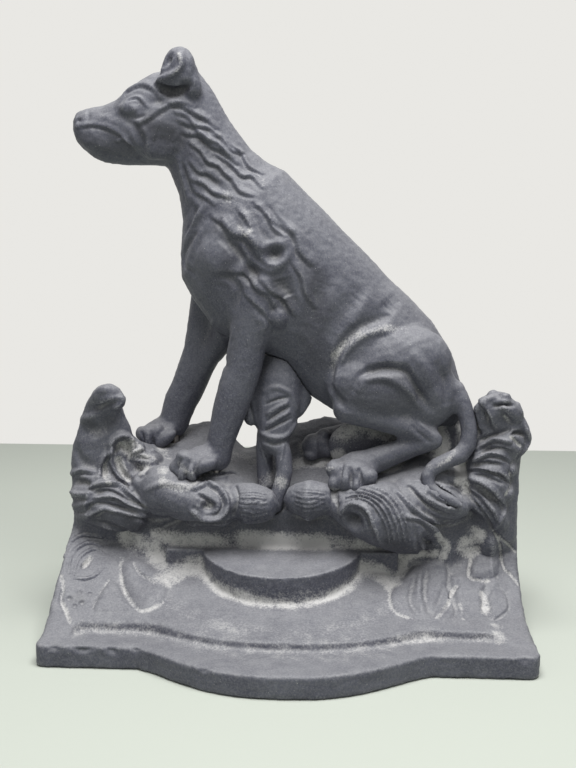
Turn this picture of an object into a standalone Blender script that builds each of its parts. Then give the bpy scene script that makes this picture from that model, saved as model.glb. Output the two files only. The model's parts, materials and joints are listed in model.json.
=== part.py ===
"""Cast-iron figural doorstop: a seated hound on a stepped plinth.

The model is the set of pieces that the object comes apart into: a hollow plinth casting, the two
halves of the hollow hound, the leaf sprig under its belly, and the screws, bolts and washers that
hold them together.

X runs to the viewer's right, Y to the back and Z up. The origin lies on the floor in the middle of
the plinth. Units are metres; the tables of stations are in millimetres and are scaled by MM.
"""
import math

import bmesh
import bpy
import numpy as np
from mathutils import Matrix, Vector

MM = 0.001

# Plinth outline
PLINTH_WIDTH = 0.280
PLINTH_DEPTH = 0.172
BOW_DEPTH = 0.034
BOW_HALF_WIDTH = 0.081
BOW_FLATNESS = 2.5
BOW_SHARPNESS = 1.4
CORNER_RADIUS = 0.007
PLATE_THICKNESS = 0.0135
PLATE_EDGE_ROUND = 0.0015
PLINTH_WALL = 0.006
APRON_WALL = 0.0075
MOUND_WALL = 0.0090
APRON_INSET = 0.0096
MOUND_INSET = 0.0069
CAVITY_SLOPE_REACH = 0.006
CAVITY_BELOW = 0.010

# Raised panel that follows the bowed front edge
PANEL_RISE = 0.0050
PANEL_SIDE_MARGIN = 0.020
PANEL_FRONT_MARGIN = 0.022
PANEL_BOW_DEPTH = 0.023
PANEL_BACK_Y = 0.030
APRON_MARGIN = 0.005
APRON_BACK_Y = 0.060

# Half-round step with a straight wing at each side
STEP_CENTRE_X = -0.006
STEP_CHORD_Y = 0.0145
STEP_HALF_WIDTH = 0.0475
STEP_DEPTH = 0.034
STEP_TOP = 0.0487
STEP_TILT = math.radians(8.0)
STEP_FOOT = 0.016
STEP_BACK_Y = 0.040
WING_WIDTH = 0.023
WING_FRONT_Y = 0.0160

# Mound that the hound sits on: heights are above the floor at the near hind paw
SEAT_HEIGHT = 0.084
MOUND_FRONT_Y = 0.022
MOUND_END_FRONT_Y = 0.036
MOUND_END_FROM = 0.088
MOUND_END_BLEND = 0.035
MOUND_END_INSET = 0.003
MOUND_LEAN = 0.0015

# Hound: the plane where its two halves meet, and how they are built
SEAM_Y = 0.048
SEAM_GAP = 0.0003
SHELL_WALL = 0.0055
SEAT_GAP = 0.0006
POST_RADIUS = 0.0065

# Shell screws
SHELL_SCREW_RADIUS = 0.0020
SHELL_HEAD_RADIUS = 0.0040
SHELL_HEAD_HEIGHT = 0.0026
SHELL_SCREW_GRIP = 0.012
SHELL_HEAD_RECESS = 0.0020
SLOT_WIDTH = 0.0010
SLOT_DEPTH = 0.0012

# Bolts from beneath, into the paws and the sprig
BOLT_RADIUS = 0.0025
BOLT_HEAD_RADIUS = 0.0042
BOLT_HEAD_HEIGHT = 0.0034
BOLT_INWARD = 0.0025
BOLT_REACH = {"near_fore": 0.014, "far_fore": 0.014, "near_hind": 0.009, "far_hind": 0.009, "sprig": 0.010}
WASHER_RADIUS = 0.0050
WASHER_THICKNESS = 0.0012
BOSS_RADIUS = 0.0075
BOSS_DEPTH = 0.016
BOSS_TOP = 0.012
POCKET_MARGIN = 0.0004
POCKET_DEPTH = 0.030
DRILL_BELOW = 0.010
DRILL_ABOVE = 0.040
FIT_GAP = 0.0003

# Fineness of the cast forms
HOUND_VOXEL = 0.0020
MOUND_VOXEL = 0.0021
SPRIG_VOXEL = 0.0015
CAVITY_VOXEL = 0.0032
HOUND_FACES = 5200
BASE_FACES = 4200
SPRIG_FACES = 620
CAVITY_FACES = 520

# Torso from the rump to the nape: centre x, centre z above the seat, half depth, tilt of the dorsal
# side in degrees, half thickness
TORSO = (
    (95, 46, 15, 52, 12),
    (81, 59, 28.5, 57, 22),
    (66, 69.5, 37, 60, 27),
    (49.5, 80, 42, 60, 29),
    (33.5, 92, 43.5, 57, 28),
    (19, 108.5, 42.5, 54, 28),
    (3, 120, 45, 52, 31),
    (-15, 132, 49.5, 47, 33),
    (-28, 147.5, 47.5, 44, 32),
    (-37.5, 160, 45.5, 46, 29),
    (-43, 169.5, 38.5, 46, 24),
    (-47, 183.5, 30, 46, 20.5),
    (-54.5, 200, 27, 55, 19),
    (-63, 217.5, 27, 60, 18),
    (-68, 228, 26, 68, 17),
)
CHEST_STATION = 7
NECK_STATION = 12
HAUNCH_STATION = 3

# Head from the nose to the back of the skull, with the dorsal side straight up
HEAD = (
    (-127.5, 217, 12.3, 90, 9.5),
    (-122, 215.3, 15.2, 90, 10.8),
    (-115, 214.3, 17.2, 90, 11.8),
    (-107, 215.5, 19.5, 90, 13),
    (-97, 219.5, 24, 90, 16.5),
    (-84.5, 223, 27.5, 90, 19.5),
    (-71, 223.5, 29, 90, 20),
    (-60, 222, 26, 90, 17.5),
)

# Limbs, near side: x, z above the seat, radius in the profile, half thickness, y before the seam
NEAR_FORELEG = (
    (-19, 130, 19, 14, 20),
    (-20.5, 116, 15.5, 13, 20),
    (-23, 101, 14.5, 12, 20),
    (-26.5, 89, 11.2, 10.5, 20),
    (-29.5, 74, 10.9, 10, 20),
    (-34, 61.5, 11, 9.5, 20),
    (-38, 49, 10.6, 9, 20),
    (-41.5, 37, 9.1, 8.5, 20),
    (-44, 27.5, 8.4, 8.5, 20),
    (-46, 18, 8.6, 9, 20),
)
FAR_FORELEG = (
    (-32, 152, 15, 8, -12),
    (-40, 142, 16.5, 12, -17),
    (-48, 131, 15.5, 13.5, -20),
    (-55, 119, 11.5, 12, -20),
    (-57.5, 106.5, 10.4, 11, -20),
    (-59, 94, 10.8, 10, -20),
    (-60.5, 81, 11.5, 9.5, -20),
    (-65, 68, 11.5, 9.5, -20),
    (-69.5, 57, 11, 9, -20),
    (-74.5, 47.5, 10.8, 9, -20),
    (-77.5, 38.5, 10, 9, -20),
    (-79, 31, 9, 9, -20),
)
NEAR_SHIN = (
    (33, 54, 12, 11, 22),
    (50, 47, 8.5, 8, 23),
    (71, 39.5, 6.6, 7, 23),
    (84, 33.5, 6, 6.5, 22),
)
NEAR_METATARSUS = (
    (86, 33, 6, 6.5, 22),
    (74, 28.5, 6.2, 6.8, 21),
    (62, 24, 7.2, 7.5, 20),
    (48, 18.5, 8.4, 9, 20),
    (40, 14, 9, 9.5, 20),
)
FAR_METATARSUS = (
    (82, 38, 7, 7, -20),
    (66, 31, 6.4, 7, -20),
    (47, 29, 6.8, 7.5, -20),
    (31, 26.5, 7.8, 8.5, -20),
    (22, 23.5, 8.5, 9, -20),
)
TAIL = (
    (93, 66, 5, 5, 14),
    (98.5, 64, 4.6, 4.6, 17),
    (102, 56, 4.9, 4.9, 19),
    (104.5, 47, 5.1, 5.1, 20),
    (106.2, 38, 5.3, 5.3, 21),
    (105.5, 30, 5.5, 5.5, 22),
    (101, 24, 5.4, 5.4, 24),
    (93, 21, 5.1, 5.1, 26),
    (85, 17.5, 4.9, 4.9, 28),
    (80.5, 11.5, 4.6, 4.6, 30),
    (82, 5.5, 4.4, 4.4, 32),
    (88.5, 1.5, 4.2, 4.2, 34),
    (96, -1, 3.4, 3.4, 36),
    (101, -4, 2.4, 2.4, 37),
)

# Round masses: x, z above the seat, y before the seam, half sizes along x, y and z, turn in degrees
NEAR_LUMPS = (
    (63, 74, 19, 34, 17, 25, 24),
    (50, 64, 21, 30, 15, 20, -6),
    (78, 62, 16, 21, 15, 24, 20),
    (-22, 142, 17, 27, 15, 36, -20),
    (-96, 229, 11, 9, 7, 5, 20),
    (-80, 215, 13, 18, 9, 17, 0),
    (-116, 211, 7, 13, 6, 9, -10),
)
FAR_LUMPS = (
    (63, 74, -19, 34, 17, 25, 24),
    (48, 62, -21, 30, 14, 19, -6),
    (78, 62, -16, 21, 15, 24, 20),
    (-26, 142, -17, 27, 15, 36, -20),
    (-96, 229, -11, 9, 7, 5, 20),
    (-80, 215, -13, 18, 9, 17, 0),
    (-116, 211, -7, 13, 6, 9, -10),
)

# Folded ear, as round masses on the near side; the far ear mirrors them
EAR_LUMPS = (
    (-66.5, 250, 16, 10.4, 7, 13.6, 0),
    (-60, 243, 15, 6, 6.5, 10, 20),
    (-73, 245, 17, 8, 5.5, 4.5, 25),
)

# Chest between the forelegs, above the gap
FORELEG_WEB = (
    (-34, 120, 11, 12, -5),
    (-40, 101, 9.5, 11, -8),
    (-46, 88, 8, 10, -12),
    (-54.5, 76, 6, 8, -16),
    (-60, 65, 5, 6, -19),
)

# Where each paw is bolted down: x, z above the seat, y before the seam
NEAR_FORE_PAW = (-47, 16.5, 20)
FAR_FORE_PAW = (-78, 27, -20)
NEAR_HIND_PAW = (46, 13, 20)
FAR_HIND_PAW = (24, 22, -20)

# Foot of each paw, then its toes, as round masses
PAW_LUMPS = (
    (-56.5, 18.5, 22, 14, 11, 8.5, 20),
    (-70, 14.5, 26, 3.4, 4.5, 4.8, 0),
    (-65.5, 12.5, 29, 3.8, 4.8, 5.8, 0),
    (-59.5, 13.5, 31, 4.4, 4.8, 6.0, 25),
    (-51.5, 17, 30, 7.5, 4.8, 4.6, 22),
    (-87, 28.5, -19, 13.5, 11, 8.5, 18),
    (-98.4, 27.4, -15, 4.0, 4.5, 4.6, 0),
    (-92.6, 25, -11, 4.4, 4.8, 5.4, 0),
    (-87.4, 29, -12, 4.2, 4.8, 4.8, 0),
    (-83, 25.6, -9, 8.5, 4.8, 4.4, 38),
    (39, 15.5, 21, 14, 11, 9.5, 15),
    (25.5, 15, 22, 4.8, 5.5, 5.4, 0),
    (26, 8, 27, 4.2, 5.0, 5.0, 0),
    (32.5, 9.5, 30, 5.4, 5.5, 7.4, 0),
    (39.5, 6.5, 32, 5.2, 5.5, 5.2, 0),
    (44.5, 12.5, 30, 6.4, 5.5, 5.6, 20),
    (19, 22.5, -20, 9.5, 9.5, 8.0, 0),
    (11, 24.5, -13, 6.0, 5.5, 4.8, 0),
    (21.4, 19.2, -12, 4.4, 5.0, 4.6, 0),
    (10.6, 16.3, -11, 5.4, 5.5, 3.8, 0),
    (18.3, 28.3, -16, 4.2, 4.5, 4.0, 0),
)

# Ground of the mound: x, y, z above the seat
GROUND = (
    (-132, 40, -12), (-132, 80, -2), (-112, 30, 0), (-110, 42, 22), (-108, 80, 18),
    (-100, 32, 9), (-100, 46, 26), (-98, 62, 22), (-88, 22, 2), (-86, 45, 18), (-86, 68, 20), (-84, 82, 27),
    (-62, 20, 4), (-58, 30, 10), (-46, 28, 13), (-44, 36, 11), (-60, 55, 19), (-55, 82, 33),
    (-34, 22, -2), (-32, 45, 6), (-34, 82, 12),
    (-8, 22, -9), (-8, 48, 2), (-6, 66, 18), (-4, 82, 30),
    (16, 20, -6), (16, 48, 7), (14, 62, 16), (26, 68, 22), (18, 82, 36),
    (38, 20, 0), (38, 28, 5), (50, 30, 10), (42, 50, 16), (48, 66, 27), (46, 82, 34),
    (62, 20, 7), (62, 48, 18), (70, 82, 28),
    (86, 18, 12), (88, 40, 22), (92, 80, 24),
    (108, 24, 4), (110, 50, 14), (112, 80, 16),
    (132, 40, -10), (132, 80, -4),
)

# Sloping apron in front of the mound: x, y, z above the plate
APRON = (
    (-138, -47, 0), (-138, -28, 9), (-138, -8, 22), (-138, 16, 36), (-138, 40, 49),
    (-118, -46, 0), (-114, -30, 5), (-100, -30, 5), (-100, -8, 14), (-100, 16, 27), (-100, 40, 40),
    (-60, -40, 5.2), (-60, -20, 11), (-60, 10, 23), (-60, 40, 38),
    (0, -53, 5.2), (0, -36, 9), (0, -19.5, 14.5), (0, 10, 24), (0, 40, 39),
    (60, -40, 5.2), (60, -20, 9.5), (60, 10, 20), (60, 40, 37),
    (118, -44, 0), (114, -30, 5), (100, -30, 5), (100, -5, 9.5), (100, 20, 21), (100, 40, 39),
    (138, -47, -1), (138, -16, 4), (138, 5, 9), (138, 25, 18), (138, 38, 34), (138, 48, 52),
)

# Upright leaves at the plinth's ends: distance in from the end, y, z above the seat, half width, half
# thickness
LEFT_LEAF = (
    (22, 38, -30, 20, 14),
    (22, 37, -6, 20.5, 13),
    (21, 36, 14, 20, 11),
    (22, 35, 26, 19, 9.5),
    (24, 34, 36, 16.5, 8.5),
    (23, 33, 44, 13.5, 8),
    (24, 31, 52, 11.5, 7.5),
    (26.5, 28, 58, 10, 7),
    (28, 25, 62.5, 7.5, 5),
)
RIGHT_LEAF = (
    (18, 40, -30, 16, 14),
    (19, 38, -6, 17, 12.5),
    (18.5, 37, 9, 16.5, 11),
    (18, 36, 21, 17, 9.5),
    (17, 34, 32, 16.5, 8.5),
    (17.5, 32, 42, 16, 8),
    (18.5, 29, 51, 14, 7),
    (20, 26, 57, 9, 5),
)

# Scroll band in front of the mound: tapered rolls with x, y, z above the seat and radius
ROLLED_LEAF = (
    (-92, 24, 4, 8), (-80, 20, 1, 11), (-67, 16, -3, 13), (-54, 14, -6.5, 14.5), (-42, 14, -7.5, 13),
)
SHELL_ROLL = ((-33, 18, -4, 11), (-24, 14, -5.5, 13), (-16, 15, -6, 11))
BUD = ((3, 18, -2, 9), (11, 13, -2.5, 13), (19, 16, -1.5, 10))
RIGHT_VOLUTE = (
    (31, 16, -5, 11), (40, 13, -7, 16), (52, 13, -9, 20), (63, 14, -14, 19), (73, 17, -21, 16),
    (82, 21, -28, 10),
)
OVAL_LEAF = ((68, 20, 5, 7), (78, 17, 0, 10.5), (90, 18, -4, 10.5), (101, 22, -8, 7))
FAN_RIBS = (
    ((-127, 27, 7, 5), (-116, 22, 3, 6), (-104, 19, -4, 6), (-90, 19, -11, 5)),
    ((-133, 28, -4, 5.5), (-122, 21, -5, 6.5), (-108, 18, -11, 6.5), (-92, 19, -17, 5)),
    ((-133, 30, -14, 5), (-123, 22, -15, 6.5), (-110, 19, -19, 6.5), (-95, 21, -22, 5)),
)
LEAF_TIPS = (
    ((-118, 27, 56, 6), (-111, 24, 58.5, 7.5), (-104.5, 22, 54, 5.5)),
    ((118, 29, 51, 7), (126, 26, 54, 8.5), (132, 27, 49, 6)),
    ((123, 29, 29, 7), (130, 27, 33, 8.5), (133, 28, 27, 6)),
)
GROUND_FOLDS = (
    ((-120, 31, 4, 5.5), (-119, 32, 16, 5.5), (-113, 35, 26, 5.5), (-104, 38, 28, 5.5), (-96, 39, 22, 5)),
    ((-107, 29, 2, 5), (-104, 31, 10, 5), (-107, 34, 18, 5), (-112, 35, 20, 4)),
    ((-86, 31, 15, 4.5), (-94, 33, 17, 4.5), (-96, 36, 23, 4)),
)
LEAF_RIBS = (
    ((112, 28, 22, 5.5), (122, 25, 20, 6), (131, 27, 14, 5)),
    ((110, 27, 10, 5.5), (120, 24, 8, 6.5), (130, 26, 0, 5)),
    ((109, 27, -3, 5.5), (119, 25, -8, 6.5), (127, 27, -18, 5)),
)

# Sprig under the belly: x, z above the seat, radius in the profile, half thickness, y before the seam
SPRIG = (
    (-7, 78, 11, 8, 6),
    (-8, 66, 13, 9, 9),
    (-9, 52, 13.5, 9, 12),
    (-10, 38, 12, 9, 14),
    (-11, 28, 9, 8, 16),
    (-5.5, 22, 5.5, 5.5, 19),
    (-4.5, 12, 5.2, 5.2, 22),
    (-7, 1, 5.2, 5.2, 24),
    (-11, -9, 5.5, 5.5, 26),
)
SPRIG_WEB = (
    (-16, 84, 9, 5, 4),
    (-20, 66, 8, 5, 7),
    (-23, 52, 7, 5, 9),
    (-26, 41, 5, 4.5, 10),
)
SPRIG_LEAFLET = (
    (1, 80, 11, 5, 4),
    (5, 66, 9, 5, 5),
    (4, 54, 7.5, 4.5, 7),
    (1, 47, 6, 4.5, 9),
)
SPRIG_STALK = (
    (-16, 36, 6, 6, 12),
    (-18, 24, 5.2, 5.5, 11),
    (-17.5, 12, 5.2, 5.5, 11),
    (-16, 0, 6, 6, 12),
)

# Dome at the end of each loft: how far out each ring stands and how large it is, as shares
DOME_SQUASH = 0.75
DOME_RINGS = ((0.62, 0.78), (1.0, 0.30))
THINNEST = 0.002

# Sides of the space that each half of the hound is cut from
SPLIT_REACH = 1.0

IRON_PAINT = (0.105, 0.110, 0.128)
PAINT_ROUGHNESS = 0.62
PAINT_METALLIC = 0.25
SCREW_STEEL = (0.33, 0.32, 0.31)
STEEL_ROUGHNESS = 0.45
STEEL_METALLIC = 0.9
SHARP_ANGLE = math.radians(40)


def clear_scene():
    """Remove every object, so that the model starts from nothing."""
    for thing in list(bpy.data.objects):
        bpy.data.objects.remove(thing, do_unlink=True)


def new_collection(name):
    collection = bpy.data.collections.new(name)
    bpy.context.scene.collection.children.link(collection)
    return collection


def principled(name, colour, roughness, metallic):
    """A plain Principled material of one colour."""
    material = bpy.data.materials.new(name)
    material.use_nodes = True
    shader = material.node_tree.nodes["Principled BSDF"]
    shader.inputs["Base Color"].default_value = (*colour, 1.0)
    shader.inputs["Roughness"].default_value = roughness
    shader.inputs["Metallic"].default_value = metallic
    material.diffuse_color = (*colour, 1.0)
    return material


def to_object(name, bm, collection):
    """Turn a bmesh into a named object with outward faces."""
    bmesh.ops.recalc_face_normals(bm, faces=bm.faces)
    mesh = bpy.data.meshes.new(name)
    bm.to_mesh(mesh)
    bm.free()
    thing = bpy.data.objects.new(name, mesh)
    collection.objects.link(thing)
    return thing


def evaluated_copy(thing):
    """A new mesh with the object's modifiers applied."""
    graph = bpy.context.evaluated_depsgraph_get()
    return bpy.data.meshes.new_from_object(thing.evaluated_get(graph), depsgraph=graph)


def apply_modifiers(thing):
    mesh = evaluated_copy(thing)
    thing.modifiers.clear()
    thing.data = mesh


def boolean(thing, other, operation):
    """Join, cut or intersect one solid with another, and keep the result."""
    modifier = thing.modifiers.new(operation.title(), "BOOLEAN")
    modifier.object = other
    modifier.operation = operation
    modifier.solver = "EXACT"
    apply_modifiers(thing)


def duplicate(thing, name, collection):
    copy = bpy.data.objects.new(name, thing.data.copy())
    collection.objects.link(copy)
    return copy


def keep_largest_body(thing):
    """Drop the crumbs that a cut leaves beside the main body."""
    bm = bmesh.new()
    bm.from_mesh(thing.data)
    bm.verts.ensure_lookup_table()
    seen = set()
    bodies = []
    for start in bm.verts:
        if start in seen:
            continue
        body, stack = [], [start]
        seen.add(start)
        while stack:
            vert = stack.pop()
            body.append(vert)
            for edge in vert.link_edges:
                other = edge.other_vert(vert)
                if other not in seen:
                    seen.add(other)
                    stack.append(other)
        bodies.append(body)
    bodies.sort(key=len, reverse=True)
    crumbs = [vert for body in bodies[1:] for vert in body]
    bmesh.ops.delete(bm, geom=crumbs, context="VERTS")
    bm.to_mesh(thing.data)
    bm.free()


def add_loft(bm, rings, cap_start=True, cap_end=True):
    """Skin closed rings of equal point counts, one after the other, with fans at the ends."""
    rows = [[bm.verts.new(point) for point in ring] for ring in rings]
    count = len(rows[0])
    for row, after in zip(rows, rows[1:]):
        for i in range(count):
            j = (i + 1) % count
            bm.faces.new((row[i], row[j], after[j], after[i]))
    if cap_start:
        bm.faces.new(list(reversed(rows[0])))
    if cap_end:
        bm.faces.new(rows[-1])


def ellipse_ring(centre, first, second, points):
    return [
        centre + first * math.cos(2 * math.pi * i / points) + second * math.sin(2 * math.pi * i / points)
        for i in range(points)
    ]


def dome(end, before):
    """Shrinking rings beyond an end station, going outwards."""
    centre, a, b = end
    out = (centre - before[0]).normalized() * min(a.length, b.length) * DOME_SQUASH
    return [(centre + out * reach, a * size, b * size) for reach, size in DOME_RINGS]


def domed(stations):
    """Stations with a dome added at each end."""
    head = dome(stations[0], stations[1])
    return head[::-1] + list(stations) + dome(stations[-1], stations[-2])


def body_stations(table, shrink=0.0):
    """Torso and head stations: rings across the spine, each with its own tilt."""
    stations = []
    for x, z, half_depth, tilt, half_thickness in table:
        angle = math.radians(tilt)
        centre = Vector((x * MM, SEAM_Y, SEAT_HEIGHT + z * MM))
        dorsal = Vector((math.cos(angle), 0, math.sin(angle))) * max(half_depth * MM - shrink, THINNEST)
        side = Vector((0, 1, 0)) * max(half_thickness * MM - shrink, THINNEST)
        stations.append((centre, dorsal, side))
    return stations


def limb_stations(table):
    """Limb stations: rings square to the limb's own path."""
    centres = [
        Vector((x * MM, SEAM_Y - before * MM, SEAT_HEIGHT + z * MM)) for x, z, radius, half, before in table
    ]
    stations = []
    for i, (x, z, radius, half, before) in enumerate(table):
        along = centres[min(i + 1, len(table) - 1)] - centres[max(i - 1, 0)]
        across = Vector((-along.z, 0, along.x)).normalized()
        side = along.cross(across).normalized()
        stations.append((centres[i], across * radius * MM, side * half * MM))
    return stations


def roll_stations(table):
    """Tapered rolls of the scroll band, round in section."""
    centres = [Vector((x * MM, y * MM, SEAT_HEIGHT + z * MM)) for x, y, z, radius in table]
    stations = []
    for i, (x, y, z, radius) in enumerate(table):
        along = centres[min(i + 1, len(table) - 1)] - centres[max(i - 1, 0)]
        across = Vector((-along.z, 0, along.x)).normalized()
        side = along.cross(across).normalized()
        stations.append((centres[i], across * radius * MM, side * radius * MM))
    return stations


def leaf_stations(table, side):
    """Upright leaf stations: flat rings stacked up the leaf, in from one end of the plinth."""
    stations = []
    for inset, y, z, half_width, half_thickness in table:
        x = side * (PLINTH_WIDTH / 2 - inset * MM)
        centre = Vector((x, y * MM, SEAT_HEIGHT + z * MM))
        stations.append((centre, Vector((half_width * MM, 0, 0)), Vector((0, half_thickness * MM, 0))))
    return stations


def add_form(bm, stations, points=20):
    """Add a closed, dome-ended loft through elliptical stations."""
    add_loft(bm, [ellipse_ring(centre, a, b, points) for centre, a, b in domed(stations)])


def add_lumps(bm, table):
    """Add ellipsoids from a table, each turned about Y."""
    for x, z, before, half_x, half_y, half_z, turn in table:
        frame = (
            Matrix.Translation((x * MM, SEAM_Y - before * MM, SEAT_HEIGHT + z * MM))
            @ Matrix.Rotation(-math.radians(turn), 4, "Y")
            @ Matrix.Diagonal((half_x * MM, half_y * MM, half_z * MM, 1.0))
        )
        bmesh.ops.create_uvsphere(bm, u_segments=18, v_segments=12, radius=1.0, matrix=frame)


def cast_form(thing, voxel, faces, smoothing):
    """Fuse overlapping forms into one skin, soften it as a casting is, and thin it to its faces."""
    remesh = thing.modifiers.new("Fuse", "REMESH")
    remesh.mode = "VOXEL"
    remesh.voxel_size = voxel
    smooth = thing.modifiers.new("Soften", "SMOOTH")
    smooth.factor = 0.5
    smooth.iterations = smoothing
    apply_modifiers(thing)
    triangles = sum(len(polygon.vertices) - 2 for polygon in thing.data.polygons)
    thin = thing.modifiers.new("Thin", "DECIMATE")
    thin.ratio = min(1.0, faces / triangles)
    apply_modifiers(thing)
    keep_largest_body(thing)


def inflated(thing, name, margin, collection):
    """A copy grown outwards by a margin, to cut a seat with."""
    copy = duplicate(thing, name, collection)
    bm = bmesh.new()
    bm.from_mesh(copy.data)
    bm.normal_update()
    offsets = [(vert, vert.normal.copy()) for vert in bm.verts]
    for vert, normal in offsets:
        vert.co += normal * margin * vert.calc_shell_factor()
    bm.to_mesh(copy.data)
    bm.free()
    return copy


def cylinder(name, radius, start, end, collection, segments=20, tip_radius=None):
    """A cylinder or cone between two points."""
    start, end = Vector(start), Vector(end)
    along = end - start
    turn = Vector((0, 0, 1)).rotation_difference(along).to_matrix().to_4x4()
    bm = bmesh.new()
    bmesh.ops.create_cone(
        bm, cap_ends=True, segments=segments, radius1=radius,
        radius2=radius if tip_radius is None else tip_radius, depth=along.length,
        matrix=Matrix.Translation((start + end) / 2) @ turn,
    )
    return to_object(name, bm, collection)


def box(name, low, high, collection):
    low, high = Vector(low), Vector(high)
    bm = bmesh.new()
    bmesh.ops.create_cube(
        bm, size=1.0,
        matrix=Matrix.Translation((low + high) / 2) @ Matrix.Diagonal((*(high - low), 1.0)),
    )
    return to_object(name, bm, collection)


def spline_surface(table):
    """A smooth height over x and y through a table of points, as a function in metres."""
    places = np.array([row[:2] for row in table], float)
    heights = np.array([row[2] for row in table], float)
    reach = np.linalg.norm(places[:, None] - places[None], axis=2)
    count = len(table)
    system = np.zeros((count + 3, count + 3))
    system[:count, :count] = reach
    system[:count, count] = 1
    system[:count, count + 1:] = places
    system[count, :count] = 1
    system[count + 1:, :count] = places.T
    weights = np.linalg.solve(system, np.concatenate([heights, np.zeros(3)]))

    def height(x, y):
        here = np.array([x / MM, y / MM])
        near = np.linalg.norm(places - here, axis=1)
        return float(near @ weights[:count] + weights[count] + here @ weights[count + 1:]) * MM

    return height


apron_rise = spline_surface(APRON)
ground_rise = spline_surface(GROUND)


def apron_height(x, y):
    return PLATE_THICKNESS + apron_rise(x, y)


def ground_height(x, y):
    return SEAT_HEIGHT + ground_rise(x, y)


def bow(x, straight, depth, half_width):
    """Front edge line: straight at the ends, with a bow that swells forward in the middle."""
    share = min(abs(x) / half_width, 1.0)
    return straight - depth * (1 - share ** BOW_FLATNESS) ** BOW_SHARPNESS


def front_y(x):
    return bow(x, -PLINTH_DEPTH / 2 + BOW_DEPTH, BOW_DEPTH, BOW_HALF_WIDTH)


def panel_front_y(x):
    straight = -PLINTH_DEPTH / 2 + BOW_DEPTH + PANEL_FRONT_MARGIN
    return bow(x, straight, PANEL_BOW_DEPTH, BOW_HALF_WIDTH)


def serpentine_outline(half_width, back, front_line, inset=0.0, steps=36):
    """Plinth outline, anticlockwise from the left front corner, with rounded corners."""
    radius = max(CORNER_RADIUS - inset, 0.001)
    points = []
    for step in range(steps + 1):
        x = -half_width + radius + step / steps * (2 * half_width - 2 * radius)
        points.append((x, front_line(x) + inset))
    corners = ((half_width - radius, front_line(half_width) + inset + radius, -90),
               (half_width - radius, back - radius, 0),
               (-half_width + radius, back - radius, 90),
               (-half_width + radius, front_line(half_width) + inset + radius, 180))
    for x, y, start in corners:
        for step in range(1, 5):
            angle = math.radians(start + 90 * step / 4)
            points.append((x + radius * math.cos(angle), y + radius * math.sin(angle)))
    return points[:-1]


def slab(name, outline, bottom, top, collection):
    """A prism over a flat outline; top is a height, or a function of x and y."""
    bm = bmesh.new()
    level = top if callable(top) else lambda x, y: top
    lower = [Vector((x, y, bottom)) for x, y in outline]
    upper = [Vector((x, y, level(x, y))) for x, y in outline]
    add_loft(bm, [lower, upper])
    return to_object(name, bm, collection)


def height_block(bm, columns, rows, place, top, bottom):
    """A closed block whose top follows a height function over a grid of places."""
    upper, lower = [], []
    for i in range(columns + 1):
        line, under = [], []
        for j in range(rows + 1):
            x, y, lean_x = place(i / columns, j / rows)
            line.append(bm.verts.new((x + lean_x, y, top(x, y))))
            under.append(bm.verts.new((x, y, bottom)))
        upper.append(line)
        lower.append(under)
    for i in range(columns):
        for j in range(rows):
            bm.faces.new((upper[i][j], upper[i + 1][j], upper[i + 1][j + 1], upper[i][j + 1]))
            bm.faces.new((lower[i][j], lower[i][j + 1], lower[i + 1][j + 1], lower[i + 1][j]))
    for i in range(columns):
        bm.faces.new((lower[i][0], lower[i + 1][0], upper[i + 1][0], upper[i][0]))
        bm.faces.new((lower[i + 1][rows], lower[i][rows], upper[i][rows], upper[i + 1][rows]))
    for j in range(rows):
        bm.faces.new((lower[0][j + 1], lower[0][j], upper[0][j], upper[0][j + 1]))
        bm.faces.new((lower[columns][j], lower[columns][j + 1], upper[columns][j + 1], upper[columns][j]))


def mound_front(x):
    """Where the mound's front wall stands: further back near the plinth's ends."""
    share = min(max((abs(x) - MOUND_END_FROM) / MOUND_END_BLEND, 0.0), 1.0)
    return MOUND_FRONT_Y + (MOUND_END_FRONT_Y - MOUND_FRONT_Y) * share * share * (3 - 2 * share)


def mound_place(margin, back):
    half = PLINTH_WIDTH / 2 - MOUND_END_INSET - margin

    def place(u, v):
        x = -half + 2 * half * u
        front = mound_front(x) + margin
        lean = -math.copysign(MOUND_LEAN, x) * abs(x) / half
        return x, front + (back - margin - front) * v, lean

    return place


def apron_place(margin):
    half = PLINTH_WIDTH / 2 - MOUND_END_INSET / 2 - margin

    def place(u, v):
        x = -half + 2 * half * u
        beyond_panel = abs(x) > PLINTH_WIDTH / 2 - PANEL_SIDE_MARGIN
        front = (front_y(x) + APRON_MARGIN if beyond_panel else panel_front_y(x)) + margin
        return x, front + (APRON_BACK_Y - front) * v, 0.0

    return place


def build_plinth_form(cutters):
    """Apron, mound, end leaves and scroll band, fused as the foundry pattern has them."""
    bm = bmesh.new()
    back = PLINTH_DEPTH / 2
    height_block(bm, 56, 20, apron_place(0.0), apron_height, 0.0)
    height_block(bm, 56, 16, mound_place(0.0, back), ground_height, 0.0)
    add_form(bm, leaf_stations(LEFT_LEAF, -1))
    add_form(bm, leaf_stations(RIGHT_LEAF, 1))
    for roll in (ROLLED_LEAF, SHELL_ROLL, BUD, RIGHT_VOLUTE, OVAL_LEAF, *FAN_RIBS, *LEAF_TIPS,
                 *GROUND_FOLDS, *LEAF_RIBS):
        add_form(bm, roll_stations(roll), 16)
    form = to_object("base_casting", bm, cutters)
    cast_form(form, MOUND_VOXEL, BASE_FACES, 3)
    floor = box("plinth_floor", (-1, -1, -1), (1, 1, 0.001), cutters)
    boolean(form, floor, "DIFFERENCE")
    return form


def step_top(x, y):
    return STEP_TOP + math.tan(STEP_TILT) * (y - STEP_CHORD_Y)


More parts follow.
